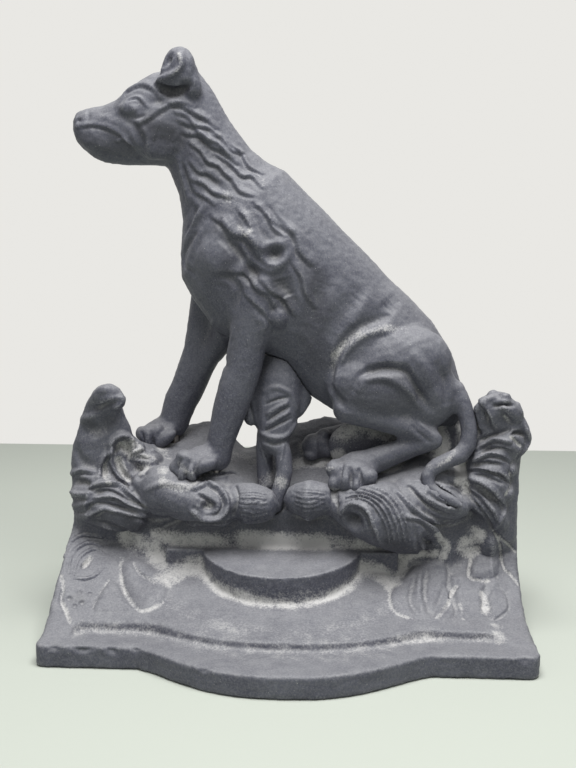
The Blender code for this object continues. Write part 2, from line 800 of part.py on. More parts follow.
def step_outline(steps=24):
    """Outline of the half-round step, as an arc below its chord, and of its straight wings."""
    radius = (STEP_HALF_WIDTH ** 2 + STEP_DEPTH ** 2) / (2 * STEP_DEPTH)
    centre_y = STEP_CHORD_Y - STEP_DEPTH + radius
    half_angle = math.atan2(STEP_HALF_WIDTH, centre_y - STEP_CHORD_Y)
    left = STEP_CENTRE_X - STEP_HALF_WIDTH - WING_WIDTH
    right = STEP_CENTRE_X + STEP_HALF_WIDTH + WING_WIDTH
    arc = []
    for step in range(steps + 1):
        angle = -half_angle + 2 * half_angle * step / steps
        arc.append((STEP_CENTRE_X + radius * math.sin(angle), centre_y - radius * math.cos(angle)))
    corner = STEP_HALF_WIDTH
    return ([(left, STEP_BACK_Y), (left, WING_FRONT_Y), (STEP_CENTRE_X - corner, WING_FRONT_Y)] + arc
            + [(STEP_CENTRE_X + corner, WING_FRONT_Y), (right, WING_FRONT_Y), (right, STEP_BACK_Y)])


def build_base(parts, cutters, hound, sprig, bolts):
    """The plinth casting: outer form, plate, panel and step, less its hollow, seats and bolt holes."""
    base = build_plinth_form(cutters)
    half = PLINTH_WIDTH / 2
    back = PLINTH_DEPTH / 2
    plate = slab("plate", serpentine_outline(half, back, front_y), 0.0, PLATE_THICKNESS, cutters)
    bevel = plate.modifiers.new("Edge", "BEVEL")
    bevel.width = PLATE_EDGE_ROUND
    bevel.segments = 1
    bevel.limit_method = "ANGLE"
    apply_modifiers(plate)
    panel_top = PLATE_THICKNESS + PANEL_RISE
    panel = slab(
        "panel", serpentine_outline(half - PANEL_SIDE_MARGIN, PANEL_BACK_Y, panel_front_y),
        STEP_FOOT / 2, panel_top, cutters,
    )
    step = slab("step", step_outline(), STEP_FOOT, step_top, cutters)
    for solid in (plate, panel, step):
        boolean(base, solid, "UNION")
    cavity = build_plinth_cavity(cutters)
    boolean(base, cavity, "DIFFERENCE")
    for name, (x, y, seat) in bolts.items():
        boss = cylinder(
            "boss_" + name, BOSS_RADIUS, (x, y, seat), (x, y, seat + BOSS_TOP), cutters, 16
        )
        boolean(base, boss, "UNION")
        pocket = cylinder(
            "pocket_" + name, WASHER_RADIUS + POCKET_MARGIN, (x, y, seat - POCKET_DEPTH), (x, y, seat),
            cutters, 16,
        )
        boolean(base, pocket, "DIFFERENCE")
    seat_cut = inflated(hound, "hound_seat", SEAT_GAP, cutters)
    boolean(base, seat_cut, "DIFFERENCE")
    sprig_cut = inflated(sprig, "sprig_seat", SEAT_GAP, cutters)
    boolean(base, sprig_cut, "DIFFERENCE")
    for name, (x, y, seat) in bolts.items():
        hole = cylinder(
            "hole_" + name, BOLT_RADIUS + FIT_GAP, (x, y, seat - DRILL_BELOW), (x, y, seat + DRILL_ABOVE),
            cutters, 12,
        )
        boolean(base, hole, "DIFFERENCE")
    keep_largest_body(base)
    cutters.objects.unlink(base)
    parts.objects.link(base)
    return base


def build_plinth_cavity(cutters):
    """The hollow under the plinth: one wall inside the apron and the mound, open at the floor."""
    bm = bmesh.new()

    def under_apron(x, y):
        return max(apron_height(x, y) - APRON_WALL, PLATE_THICKNESS - PLINTH_WALL)

    def under_mound(x, y):
        around = (y, y - CAVITY_SLOPE_REACH, y + CAVITY_SLOPE_REACH)
        return min(ground_height(x, near) for near in around) - MOUND_WALL

    height_block(bm, 30, 10, apron_place(APRON_INSET), under_apron, -CAVITY_BELOW)
    height_block(bm, 30, 8, mound_place(MOUND_INSET, PLINTH_DEPTH / 2), under_mound, -CAVITY_BELOW)
    cavity = to_object("plinth_cavity", bm, cutters)
    cast_form(cavity, CAVITY_VOXEL, CAVITY_FACES, 2)
    return cavity


def build_hound_form(cutters):
    """The whole hound as one solid: torso, head, limbs, paws, ears and tail fused together."""
    bm = bmesh.new()
    add_form(bm, body_stations(TORSO), 28)
    add_form(bm, body_stations(HEAD), 24)
    limbs = (NEAR_FORELEG, FAR_FORELEG, FORELEG_WEB, NEAR_SHIN, NEAR_METATARSUS, FAR_METATARSUS, TAIL)
    for limb in limbs:
        add_form(bm, limb_stations(limb), 16)
    far_ear = [(x, z, -before, *sizes) for x, z, before, *sizes in EAR_LUMPS]
    for lumps in (NEAR_LUMPS, FAR_LUMPS, EAR_LUMPS, far_ear, PAW_LUMPS):
        add_lumps(bm, lumps)
    form = to_object("hound_form", bm, cutters)
    cast_form(form, HOUND_VOXEL, HOUND_FACES, 2)
    return form


def build_hound_cavity(cutters, screws):
    """The hollow of the torso and neck, with a solid post left round each shell screw."""
    bm = bmesh.new()
    inner = body_stations(TORSO[1:NECK_STATION + 1], SHELL_WALL)
    add_loft(bm, [ellipse_ring(centre, a, b, 20) for centre, a, b in inner])
    cavity = to_object("hound_cavity", bm, cutters)
    for name, (x, z, reach) in screws.items():
        post = cylinder(
            "post_" + name, POST_RADIUS, (x, SEAM_Y - reach, z), (x, SEAM_Y + reach, z), cutters, 16
        )
        boolean(cavity, post, "DIFFERENCE")
    return cavity


def shell_screw_places():
    """Where the shell screws go: x, z and the torso's half thickness at three of its stations."""
    places = {}
    for name, station in (("neck", NECK_STATION), ("chest", CHEST_STATION), ("haunch", HAUNCH_STATION)):
        x, z, half_depth, tilt, half_thickness = TORSO[station]
        places[name] = (x * MM, SEAT_HEIGHT + z * MM, half_thickness * MM)
    return places


def build_shells(parts, cutters, hound, screws, bolts):
    """Split the hound at its seam into two hollow halves, drilled for screws and bolts."""
    cavity = build_hound_cavity(cutters, screws)
    low = (-SPLIT_REACH, -SPLIT_REACH, -SPLIT_REACH)
    high = (SPLIT_REACH, SPLIT_REACH, SPLIT_REACH)
    near_side = box("near_side", low, (SPLIT_REACH, SEAM_Y - SEAM_GAP / 2, SPLIT_REACH), cutters)
    far_side = box("far_side", (-SPLIT_REACH, SEAM_Y + SEAM_GAP / 2, -SPLIT_REACH), high, cutters)
    shells = []
    for name, side in (("hound_near_shell", near_side), ("hound_far_shell", far_side)):
        shell = duplicate(hound, name, parts)
        boolean(shell, side, "INTERSECT")
        boolean(shell, cavity, "DIFFERENCE")
        shells.append(shell)
    near, far = shells
    for name, (x, z, reach) in screws.items():
        head_seat = SEAM_Y + reach - SHELL_HEAD_RECESS - SHELL_HEAD_HEIGHT
        shank = cylinder(
            "tap_" + name, SHELL_SCREW_RADIUS + FIT_GAP, (x, SEAM_Y - SHELL_SCREW_GRIP - FIT_GAP, z),
            (x, SEAM_Y + reach * 2, z), cutters, 14,
        )
        sink = cylinder(
            "sink_" + name, SHELL_HEAD_RADIUS + FIT_GAP, (x, head_seat, z), (x, SEAM_Y + reach * 2, z),
            cutters, 16,
        )
        boolean(near, shank, "DIFFERENCE")
        boolean(far, shank, "DIFFERENCE")
        boolean(far, sink, "DIFFERENCE")
    for name, (x, y, seat) in bolts.items():
        if name == "sprig":
            continue
        shell = near if y < SEAM_Y else far
        hole = cylinder(
            "paw_tap_" + name, BOLT_RADIUS + FIT_GAP, (x, y, seat - DRILL_BELOW),
            (x, y, seat + bolt_length(name) + FIT_GAP), cutters, 12,
        )
        boolean(shell, hole, "DIFFERENCE")
    for shell in shells:
        keep_largest_body(shell)
    return near, far


def build_shell_screw(parts, cutters, name, place):
    """A slotted cheese-head screw that enters from the far side."""
    x, z, reach = place
    head_seat = SEAM_Y + reach - SHELL_HEAD_RECESS - SHELL_HEAD_HEIGHT + FIT_GAP
    head_top = head_seat + SHELL_HEAD_HEIGHT
    screw = cylinder(
        "shell_screw_" + name, SHELL_SCREW_RADIUS, (x, SEAM_Y - SHELL_SCREW_GRIP, z),
        (x, head_seat + SHELL_HEAD_HEIGHT / 2, z), parts, 12,
    )
    head = cylinder("head", SHELL_HEAD_RADIUS, (x, head_seat, z), (x, head_top, z), cutters, 16)
    slot = box(
        "slot", (x - SHELL_HEAD_RADIUS * 2, head_top - SLOT_DEPTH, z - SLOT_WIDTH / 2),
        (x + SHELL_HEAD_RADIUS * 2, head_top + SLOT_DEPTH, z + SLOT_WIDTH / 2), cutters,
    )
    boolean(screw, head, "UNION")
    boolean(screw, slot, "DIFFERENCE")
    return screw


def bolt_places():
    """Where the bolts stand: x, y and the height of the boss face that each washer bears on."""
    places = {}
    paws = {
        "near_fore": NEAR_FORE_PAW, "far_fore": FAR_FORE_PAW,
        "near_hind": NEAR_HIND_PAW, "far_hind": FAR_HIND_PAW,
    }
    for name, (x, z, before) in paws.items():
        y = SEAM_Y - before * MM + math.copysign(BOLT_INWARD, before)
        places[name] = (x * MM, y, ground_height(x * MM, y) - BOSS_DEPTH)
    x, z, radius, half, before = SPRIG_STALK[-1]
    y = SEAM_Y - before * MM
    places["sprig"] = (x * MM, y, ground_height(x * MM, y) - BOSS_DEPTH)
    return places


def bolt_length(name):
    """Shank length from the boss face into the paw or the sprig."""
    return BOSS_DEPTH + BOLT_REACH[name]


def build_bolt(parts, cutters, name, place):
    """A hexagon-head bolt that rises through its boss, with a plain washer under the head."""
    x, y, seat = place
    washer_top = seat - FIT_GAP
    head_top = washer_top - WASHER_THICKNESS - FIT_GAP
    label = name if name == "sprig" else "paw"
    suffix = "" if name == "sprig" else "_" + name
    bolt = cylinder(
        f"{label}_bolt{suffix}", BOLT_RADIUS, (x, y, head_top - BOLT_HEAD_HEIGHT / 2),
        (x, y, seat + bolt_length(name)), parts, 12,
    )
    head = cylinder(
        "hex", BOLT_HEAD_RADIUS, (x, y, head_top - BOLT_HEAD_HEIGHT), (x, y, head_top), cutters, 6
    )
    boolean(bolt, head, "UNION")
    washer = cylinder(
        f"{label}_washer{suffix}", WASHER_RADIUS, (x, y, washer_top - WASHER_THICKNESS),
        (x, y, washer_top), parts, 16,
    )
    bore = cylinder(
        "bore", BOLT_RADIUS + FIT_GAP, (x, y, washer_top - DRILL_BELOW), (x, y, washer_top + DRILL_BELOW),
        cutters, 12,
    )
    boolean(washer, bore, "DIFFERENCE")
    return bolt, washer


def build_sprig(parts, cutters, hound):
    """The leaf sprig that props the belly."""
    bm = bmesh.new()
    add_form(bm, limb_stations(SPRIG), 16)
    for part in (SPRIG_WEB, SPRIG_LEAFLET, SPRIG_STALK):
        add_form(bm, limb_stations(part), 12)
    sprig = to_object("belly_sprig", bm, parts)
    cast_form(sprig, SPRIG_VOXEL, SPRIG_FACES, 2)
    belly = inflated(hound, "belly_cut", SEAT_GAP, cutters)
    boolean(sprig, belly, "DIFFERENCE")
    keep_largest_body(sprig)
    return sprig


def drill_sprig(sprig, cutters, place):
    """Drill the sprig's stalk for its foot bolt."""
    x, y, seat = place
    hole = cylinder(
        "sprig_tap", BOLT_RADIUS + FIT_GAP, (x, y, seat - DRILL_BELOW),
        (x, y, seat + bolt_length("sprig") + FIT_GAP), cutters, 12,
    )
    boolean(sprig, hole, "DIFFERENCE")


def dress(thing, material):
    thing.data.materials.clear()
    thing.data.materials.append(material)
    thing.data.shade_smooth()
    thing.data.set_sharp_from_angle(angle=SHARP_ANGLE)


def main():
    clear_scene()
    parts = new_collection("hound_doorstop")
    cutters = new_collection("cutters")
    hound = build_hound_form(cutters)
    screws = shell_screw_places()
    bolts = bolt_places()
    sprig = build_sprig(parts, cutters, hound)
    base = build_base(parts, cutters, hound, sprig, bolts)
    drill_sprig(sprig, cutters, bolts["sprig"])
    near, far = build_shells(parts, cutters, hound, screws, bolts)
    for casting, name in ((base, "base"), (near, "near_shell"), (far, "far_shell"), (sprig, "sprig")):
        dress(casting, principled("painted_iron_" + name, IRON_PAINT, PAINT_ROUGHNESS, PAINT_METALLIC))
    fixings = [build_shell_screw(parts, cutters, name, place) for name, place in screws.items()]
    for name, place in bolts.items():
        fixings.extend(build_bolt(parts, cutters, name, place))
    for fixing in fixings:
        dress(fixing, principled("steel_" + fixing.name, SCREW_STEEL, STEEL_ROUGHNESS, STEEL_METALLIC))
    for cutter in cutters.objects:
        cutter.hide_render = True
        cutter.hide_viewport = True
        cutter.display_type = "WIRE"


main()
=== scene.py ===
"""Looks of the cast-iron hound doorstop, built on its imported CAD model.

Each casting is a fine copy of its CAD solid that is modelled further as wax is: extra clay is fused on, and
strokes raise or sink its skin. A stroke is drawn in the front elevation, in millimetres: x to the viewer's
right, z up from the floor. Every finish is painted by nodes from the shape of the casting itself.
"""

import json
import logging
import math
from dataclasses import dataclass
from enum import Enum
from typing import Iterable, Sequence

import bmesh
import bpy
import numpy as np
from mathutils import Matrix, Vector, noise
from mathutils.bvhtree import BVHTree

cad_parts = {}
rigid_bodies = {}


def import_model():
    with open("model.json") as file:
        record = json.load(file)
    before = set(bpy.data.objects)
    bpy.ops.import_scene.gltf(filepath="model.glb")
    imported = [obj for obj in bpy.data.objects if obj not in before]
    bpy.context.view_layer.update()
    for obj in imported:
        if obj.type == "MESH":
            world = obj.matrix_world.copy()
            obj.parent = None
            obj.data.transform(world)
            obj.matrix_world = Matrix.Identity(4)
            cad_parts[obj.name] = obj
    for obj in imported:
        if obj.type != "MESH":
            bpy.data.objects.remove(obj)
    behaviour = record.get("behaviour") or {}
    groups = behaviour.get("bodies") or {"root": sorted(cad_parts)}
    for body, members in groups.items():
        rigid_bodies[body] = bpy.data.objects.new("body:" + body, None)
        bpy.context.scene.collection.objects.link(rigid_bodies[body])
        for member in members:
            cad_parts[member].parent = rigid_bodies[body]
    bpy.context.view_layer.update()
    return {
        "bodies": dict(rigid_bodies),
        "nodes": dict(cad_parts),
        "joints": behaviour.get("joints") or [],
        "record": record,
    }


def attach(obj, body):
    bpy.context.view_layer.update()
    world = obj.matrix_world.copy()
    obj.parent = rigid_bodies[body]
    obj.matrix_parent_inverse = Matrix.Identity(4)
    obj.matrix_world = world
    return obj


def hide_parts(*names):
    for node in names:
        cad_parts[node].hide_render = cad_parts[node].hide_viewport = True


MM = 0.001
BODY = "root"
LOG = logging.getLogger("hound_doorstop")

# Where a ray towards the casting starts, and how near its hit is to a point that it shows, in millimetres
RAY_START = 400.0
SAME_SKIN = 1.0

# Share of the way to its neighbours' mean that a point goes, and the step back that keeps the form's size
SHRINK = 0.50
REGROW = -0.52

# Half waves that a lock's section passes through between its middle and its edge
LOCK_WAVES = 1.5

# A fold: share of its half width that its lip takes, the hollow's depth under it as a share of its height,
# and how sharply it passes from its smooth edge to the one with the lip
FOLD_LIP = 0.45
FOLD_HOLLOW = 0.5
FOLD_TURN = 1.5

# Share of a sine's half wave that is left off at each end of a stroke, so its ends stay blunt
BLUNT_END = 0.06

# Closest that two points of a drawn curve lie, and how far apart those round a facet lie, in millimetres
FINEST_STEP = 0.4
FACET_STEP = 2.0

# How far a normal has to turn to the viewer for its point to be part of a facet
TURNED = 0.05

# Layers of relief, with how many passes smooth the skin that each is measured from, and a pass's step
RELIEFS = (("fine_relief", 5), ("broad_relief", 45))
RELIEF_STEP = 0.9

# Patterns of the finishes, in patches per metre
PATCHES = 38.0
STREAKS = 120.0
PITS = 330.0
GRAIN = 900.0
SPECKS = 1500.0
RUST = 260.0
STEEL_GRAIN = 1800.0

# Where a pattern, a relief or a slope starts to show in a finish, and where it shows in full
FADED_RAMP = (0.35, 0.68)
FILM_RAMP = (0.36, 0.66)
DEEP_RAMP = (0.10, 1.5)
EDGE_RAMP = (0.10, 0.50)
WORN_GRAIN_RAMP = (0.34, 0.66)
WORN_STREAK_RAMP = (0.30, 0.62)
LEVEL_RAMP = (0.10, 0.95)
HOLLOW_RAMP = (0.10, 1.1)
OPEN_RAMP = (-0.7, 0.5)
PACKED_RAMP = (0.15, 1.20)
LAID_RAMP = (0.0, 0.5)
CHIP_RAMP = (0.735, 0.775)
RUST_RAMP = (0.42, 0.66)

# Largest share of the paint that dust and chips hide, and of the steel that rust hides
DUST_COVER = 0.85
CHIP_COVER = 0.55
RUST_COVER = 0.8

# How much rougher patches and dust make the paint, and how deep the fine bumps are, in metres
PATCH_ROUGHNESS = 0.16
DUST_ROUGHNESS = 0.25
PAINT_DEPTH = 0.0006
STEEL_DEPTH = 0.0002

Point = tuple[float, float]
Path = Sequence[Point]
Place = tuple[float, float, float]
Colour = tuple[float, float, float]
Number = int | float


class Side(Enum):
    """The side of a casting that a stroke is drawn on."""

    NEAR = -1
    FAR = 1


class Profile(Enum):
    """The cross-section of a stroke."""

    ROUND = "round"
    LOCK = "lock"
    FOLD = "fold"


@dataclass(frozen=True)
class Stroke:
    """One stroke of the modelling tool along a path in the front elevation.

    Args:
        path: Points as x and z, in millimetres.
        radius: Half width, in millimetres.
        height: How far the skin rises, or sinks where it is negative, in millimetres.
        profile: Cross-section.
    """

    path: Path
    radius: float
    height: float
    profile: Profile = Profile.ROUND


@dataclass(frozen=True)
class Facet:
    """A flat-topped area that stands up from the skin, or lies under it.

    Args:
        outline: Its corners as x and z, in millimetres.
        height: How far it rises, or sinks where it is negative, in millimetres.
        edge: Width of its sloping edge, in millimetres.
    """

    outline: Path
    height: float
    edge: float


@dataclass(frozen=True)
class DustAndShade:
    """Dust that lies packed along a path of the front elevation, and painted shade where its amount is
    negative.

    Args:
        path: Points as x and z, in millimetres.
        radius: Half width, in millimetres.
        amount: Share of the paint that it hides in its middle. It is painted shade where it is negative.
    """

    path: Path
    radius: float
    amount: float


def line(radius: float, height: float, *path: Point) -> Stroke:
    """A round stroke."""
    return Stroke(path, radius, height)


def fold(radius: float, height: float, *path: Point) -> Stroke:
    """A stroke whose right edge hangs over a hollow."""
    return Stroke(path, radius, height, Profile.FOLD)


def lock(radius: float, height: float, *path: Point) -> Stroke:
    """A stroke with a hollow along both edges."""
    return Stroke(path, radius, height, Profile.LOCK)


def dust_and_shade(radius: float, amount: float, *path: Point) -> DustAndShade:
    """Packed dust, and painted shade instead where the amount is negative."""
    return DustAndShade(path, radius, amount)


def facet(height: float, edge: float, *outline: Point) -> Facet:
    """A flat-topped area."""
    return Facet(outline, height, edge)


def ribs(first: Path, last: Path, count: int, radius: float, height: float) -> list[Stroke]:
    """Parallel strokes that pass from one path to another.

    Args:
        first: The path of the first rib.
        last: The path of the last rib, with as many points.
        count: How many ribs there are.
        radius: Half width of each rib.
        height: Height of each rib.

    Returns:
        The ribs as strokes.
    """
    start, end = np.array(first, float), np.array(last, float)
    paths = [start + (end - start) * share for share in np.linspace(0.0, 1.0, count)]
    return [lock(radius, height, *(tuple(point) for point in path)) for path in paths]


@dataclass(frozen=True)
class Lump:
    """An egg of extra clay that is fused on before the skin is modelled.

    Args:
        place: Its centre as x, y and z, in millimetres.
        size: Its half sizes along x, y and z, in millimetres.
        turn: Its turn about y, in degrees, with the right end up.
    """

    place: Place
    size: tuple[float, float, float]
    turn: float = 0.0

    def add_to(self, form: bmesh.types.BMesh) -> None:
        """Add the egg to a form in metres."""
        frame = (
            Matrix.Translation(Vector(self.place) * MM)
            @ Matrix.Rotation(-math.radians(self.turn), 4, "Y")
            @ Matrix.Diagonal((*(Vector(self.size) * MM), 1.0))
        )
        bmesh.ops.create_uvsphere(form, u_segments=24, v_segments=16, radius=1.0, matrix=frame)


@dataclass(frozen=True)
class Tug:
    """A place where the soft skin is drawn along.

    Args:
        place: Its middle as x, y and z, in millimetres.
        radius: How far around it the skin follows, in millimetres.
        move: How far its middle moves along x, y and z, in millimetres.
    """

    place: Place
    radius: float
    move: tuple[float, float, float]


def fused(name: str, mesh: bpy.types.Mesh, voxel: float, lumps: Sequence[Lump]) -> bpy.types.Object:
    """Fuse a mesh and extra clay into one closed body with an even fine skin.

    Args:
        name: Name of the piece.
        mesh: The coarse form, in metres.
        voxel: Grain of the fine skin, in metres.
        lumps: Extra clay.

    Returns:
        The piece.
    """
    form = bmesh.new()
    form.from_mesh(mesh)
    for lump in lumps:
        lump.add_to(form)
    form.to_mesh(mesh)
    form.free()
    thing = bpy.data.objects.new(name, mesh)
    bpy.context.scene.collection.objects.link(thing)
    remesh = thing.modifiers.new("Fuse", "REMESH")
    remesh.mode = "VOXEL"
    remesh.voxel_size = voxel
    graph = bpy.context.evaluated_depsgraph_get()
    fine = bpy.data.meshes.new_from_object(thing.evaluated_get(graph), depsgraph=graph)
    thing.modifiers.clear()
    thing.data = fine
    fine.name = name
    return thing


class Clay:
    """A casting's skin as fine clay: one closed mesh that is softened and pressed in place."""

    def __init__(self, name: str, mesh: bpy.types.Mesh, voxel: float, lumps: Sequence[Lump] = ()) -> None:
        """Fuse a mesh and extra clay, and read the fine skin.

        Args:
            name: Name of the piece.
            mesh: The coarse form, in metres, which may be several overlapping closed bodies.
            voxel: Grain of the fine skin, in metres.
            lumps: Extra clay.
        """
        self.thing = fused(name, mesh, voxel, lumps)
        fine = self.thing.data
        count = len(fine.vertices)
        flat = np.empty(count * 3)
        fine.vertices.foreach_get("co", flat)
        self.points = flat.reshape(-1, 3) / MM
        links = np.empty(len(fine.edges) * 2, int)
        fine.edges.foreach_get("vertices", links)
        self.edges = links.reshape(-1, 2)
        fine.calc_loop_triangles()
        corners = np.empty(len(fine.loop_triangles) * 3, int)
        fine.loop_triangles.foreach_get("vertices", corners)
        self.triangles = corners.reshape(-1, 3)
        self.degree = np.bincount(self.edges.ravel(), minlength=count).astype(float)
        self.laid = np.zeros(count)
        # Painted shade laid along paths, one value per point
        self.shade_along_paths = np.zeros(count)

    def normals(self) -> np.ndarray:
        """Outward unit normals of all points."""
        a, b, c = (self.points[self.triangles[:, k]] for k in range(3))
        faces = np.cross(b - a, c - a)
        total = np.zeros_like(self.points)
        for corner in range(3):
            for axis in range(3):
                total[:, axis] += np.bincount(
                    self.triangles[:, corner], faces[:, axis], minlength=len(self.points)
                )
        return total / np.maximum(np.linalg.norm(total, axis=1, keepdims=True), 1e-9)

    def mean(self, values: np.ndarray) -> np.ndarray:
        """Average of each point's neighbours.

        Args:
            values: One row per point.

        Returns:
            An array of the same shape.
        """
        ends = self.edges
        columns = values.reshape(len(values), -1)
        result = np.empty_like(columns)
        for axis in range(columns.shape[1]):
            column = columns[:, axis]
            total = np.bincount(ends[:, 0], column[ends[:, 1]], minlength=len(column))
            total += np.bincount(ends[:, 1], column[ends[:, 0]], minlength=len(column))
            result[:, axis] = total / self.degree
        return result.reshape(values.shape)

    def soften(self, passes: int, mask: np.ndarray | None = None, melt: bool = False) -> None:
        """Smooth the skin.

        Args:
            passes: How many times.
            mask: Share of the smoothing at each point.
            melt: Whether corners run out, where otherwise the form keeps its size.
        """
        weight = 1.0 if mask is None else mask[:, None]
        steps = (SHRINK,) if melt else (SHRINK, REGROW)
        for _ in range(passes):
            for step in steps:
                self.points += step * weight * (self.mean(self.points) - self.points)

    def tree(self) -> BVHTree:
        """The skin's search tree."""
        return BVHTree.FromPolygons(self.points.tolist(), self.triangles.tolist())

    def around(self, places: np.ndarray, radius: float) -> tuple[np.ndarray, np.ndarray]:
        """Find the points near a line.

        Args:
            places: Places along the line.
            radius: How far round it, in millimetres.

        Returns:
            Indices of the points in the line's box, and a row of distances to all places for each.
        """
        if len(places) == 0:
            return np.empty(0, int), np.empty((0, 1))
        low, high = places.min(0) - radius, places.max(0) + radius
        near = np.flatnonzero(np.all((self.points > low) & (self.points < high), axis=1))
        return near, np.linalg.norm(self.points[near][:, None] - places[None], axis=2)

    def drape(self, tree: BVHTree, path: Path, side: Side) -> tuple[np.ndarray, np.ndarray]:
        """Lay a path of the front elevation on the skin.

        Args:
            tree: The skin's search tree.
            path: Points as x and z.
            side: The side that is drawn on.

        Returns:
            Places on the skin and the skin's normals there. Both are empty where the path misses it.
        """
        places, facing = [], []
        for x, z in path:
            place, normal = shown(tree, x, z, side)
            if place is not None:
                places.append(place)
                facing.append(normal)
        return np.array(places).reshape(-1, 3), np.array(facing).reshape(-1, 3)

    def carve(self, strokes: Iterable[Stroke], sides: Sequence[Side] = (Side.NEAR,)) -> None:
        """Press strokes into the skin.

        Args:
            strokes: What to press.
            sides: The sides of the casting to press them on.
        """
        tree = self.tree()
        normals = self.normals()
        moved = np.zeros_like(self.points)
        for side in sides:
            for stroke in strokes:
                drawn = self.drape(tree, spaced(stroke.path, stroke.radius / 3), side)
                self.press(stroke, drawn, normals, moved)
        self.points += moved

    def raise_facets(self, facets: Iterable[Facet], side: Side = Side.NEAR) -> None:
        """Raise or sink flat-topped areas of the skin that the front elevation shows.

        Args:
            facets: The areas.
            side: The side of the casting that they are on.
        """
        tree = self.tree()
        normals = self.normals()
        moved = np.zeros_like(self.points)
        for area in facets:
            outline = spaced([*area.outline, area.outline[0]], FACET_STEP)[:-1]
            inset = depth_inside(np.array(outline), self.points[:, [0, 2]])
            turned = normals[:, 1] * side.value > TURNED
            for index in np.flatnonzero((inset > 0.0) & turned):
                x, y, z = self.points[index]
                place, _ = shown(tree, x, z, side)
                if place is None or abs(place.y - y) > SAME_SKIN:
                    continue
                share = min(inset[index] / area.edge, 1.0)
                moved[index] += normals[index] * area.height * share * (2 - share)
        self.points += moved

    def dust(self, layings: Iterable[DustAndShade], sides: Sequence[Side] = (Side.NEAR,)) -> None:
        """Lay packed dust on the skin, and painted shade where an amount is negative.

        Args:
            layings: Where the dust and the painted shade lie.
            sides: The sides of the casting that it is laid on.
        """
        tree = self.tree()
        for side in sides:
            for laying in layings:
                places, _ = self.drape(tree, spaced(laying.path, laying.radius / 3), side)
                near, gaps = self.around(places, laying.radius)
                share = np.clip(1.0 - (gaps.min(axis=1) / laying.radius) ** 2, 0.0, 1.0)
                self.laid[near] = np.maximum(self.laid[near], share * laying.amount)
                self.shade_along_paths[near] = np.maximum(self.shade_along_paths[near], -share * laying.amount)

    def roughen(self, height: float, size: float) -> None:
        """Give the skin the slight unevenness of sand casting.

        Args:
            height: Greatest rise, in millimetres.
            size: Size of the uneven patches, in millimetres.
        """
        rises = np.array([noise.noise(Vector(point) / size) for point in self.points.tolist()])
        self.points += self.normals() * rises[:, None] * height

    def press(
        self, stroke: Stroke, drawn: tuple[np.ndarray, np.ndarray], normals: np.ndarray, moved: np.ndarray
    ) -> None:
        """Add one stroke's movement to the movement of all points.

        Args:
            stroke: What to press.
            drawn: Places and normals along it.
            normals: Normals of all points.
            moved: Movement so far, which is added to.
        """
        places, facing = drawn
        near, gaps = self.around(places, stroke.radius)
        if len(near) == 0:
            return
        closest = gaps.argmin(axis=1)
        share = gaps[np.arange(len(near)), closest] / stroke.radius
        offset = self.points[near] - places[closest]
        along = np.gradient(places, axis=0)[closest] if len(places) > 1 else np.zeros((len(near), 3))
        across = along[:, 0] * offset[:, 2] - along[:, 2] * offset[:, 0]
        lean = across / np.maximum(np.linalg.norm(along, axis=1) * np.linalg.norm(offset, axis=1), 1e-6)
        outward = np.einsum("ij,ij->i", normals[near], facing[closest]) > 0.0
        rise = np.where(outward, section(stroke.profile, share, lean), 0.0) * stroke.height
        if len(places) > 1:
            passed = closest / (len(places) - 1)
            wave = np.sin(math.pi * (BLUNT_END + (1.0 - 2 * BLUNT_END) * passed))
            rise = rise * np.sqrt(np.clip(wave, 0.0, 1.0))
        moved[near] += normals[near] * rise[:, None]

    def tug(self, tugs: Iterable[Tug]) -> None:
        """Draw the skin along.

        Args:
            tugs: Where and how far.
        """
        for tug in tugs:
            reach = np.linalg.norm(self.points - np.array(tug.place), axis=1) / tug.radius
            share = np.clip(1.0 - reach ** 2, 0.0, 1.0) ** 2
            self.points += share[:, None] * np.array(tug.move)

    def relief(self, passes: int) -> np.ndarray:
        """How far each point lies under the smoothed skin, in millimetres: hollows are positive.

        Args:
            passes: Width of the smoothing.

        Returns:
            One value per point.
        """
        smooth = self.points
        for _ in range(passes):
            smooth = smooth + RELIEF_STEP * (self.mean(smooth) - smooth)
        return np.einsum("ij,ij->i", smooth - self.points, self.normals())

    def finish(self) -> bpy.types.Object:
        """Write the shape and its relief into the mesh.

        Returns:
            The piece.
        """
        mesh = self.thing.data
        mesh.vertices.foreach_set("co", (self.points * MM).ravel())
        for name, passes in RELIEFS:
            values = self.relief(passes)
            for _ in range(2):
                values = 0.5 * values + 0.5 * self.mean(values)
            self.write(name, values)
        self.write("laid_dust", self.laid)
        # The painted shade that was laid along paths
        self.write("laid_shade", self.shade_along_paths)
        self.write("upward", self.normals()[:, 2])
        mesh.update()
        mesh.shade_smooth()
        return self.thing

    def write(self, name: str, values: np.ndarray) -> None:
        """Store one value per point in the mesh.

        Args:
            name: Name of the layer.
            values: The values.
        """
        layer = self.thing.data.attributes.new(name, "FLOAT", "POINT")
        layer.data.foreach_set("value", values.astype(np.float32))


def shown(tree: BVHTree, x: float, z: float, side: Side) -> tuple[Vector | None, Vector | None]:
    """What one side of a casting shows at a place of the front elevation.

    Args:
        tree: The casting's search tree.
        x: How far right, in millimetres.
        z: How far up, in millimetres.
        side: The side that is looked at.

    Returns:
        The place and the normal there, or None twice.
    """
    start = Vector((x, side.value * RAY_START, z))
    place, normal, _, _ = tree.ray_cast(start, Vector((0, -side.value, 0)))
    return place, normal


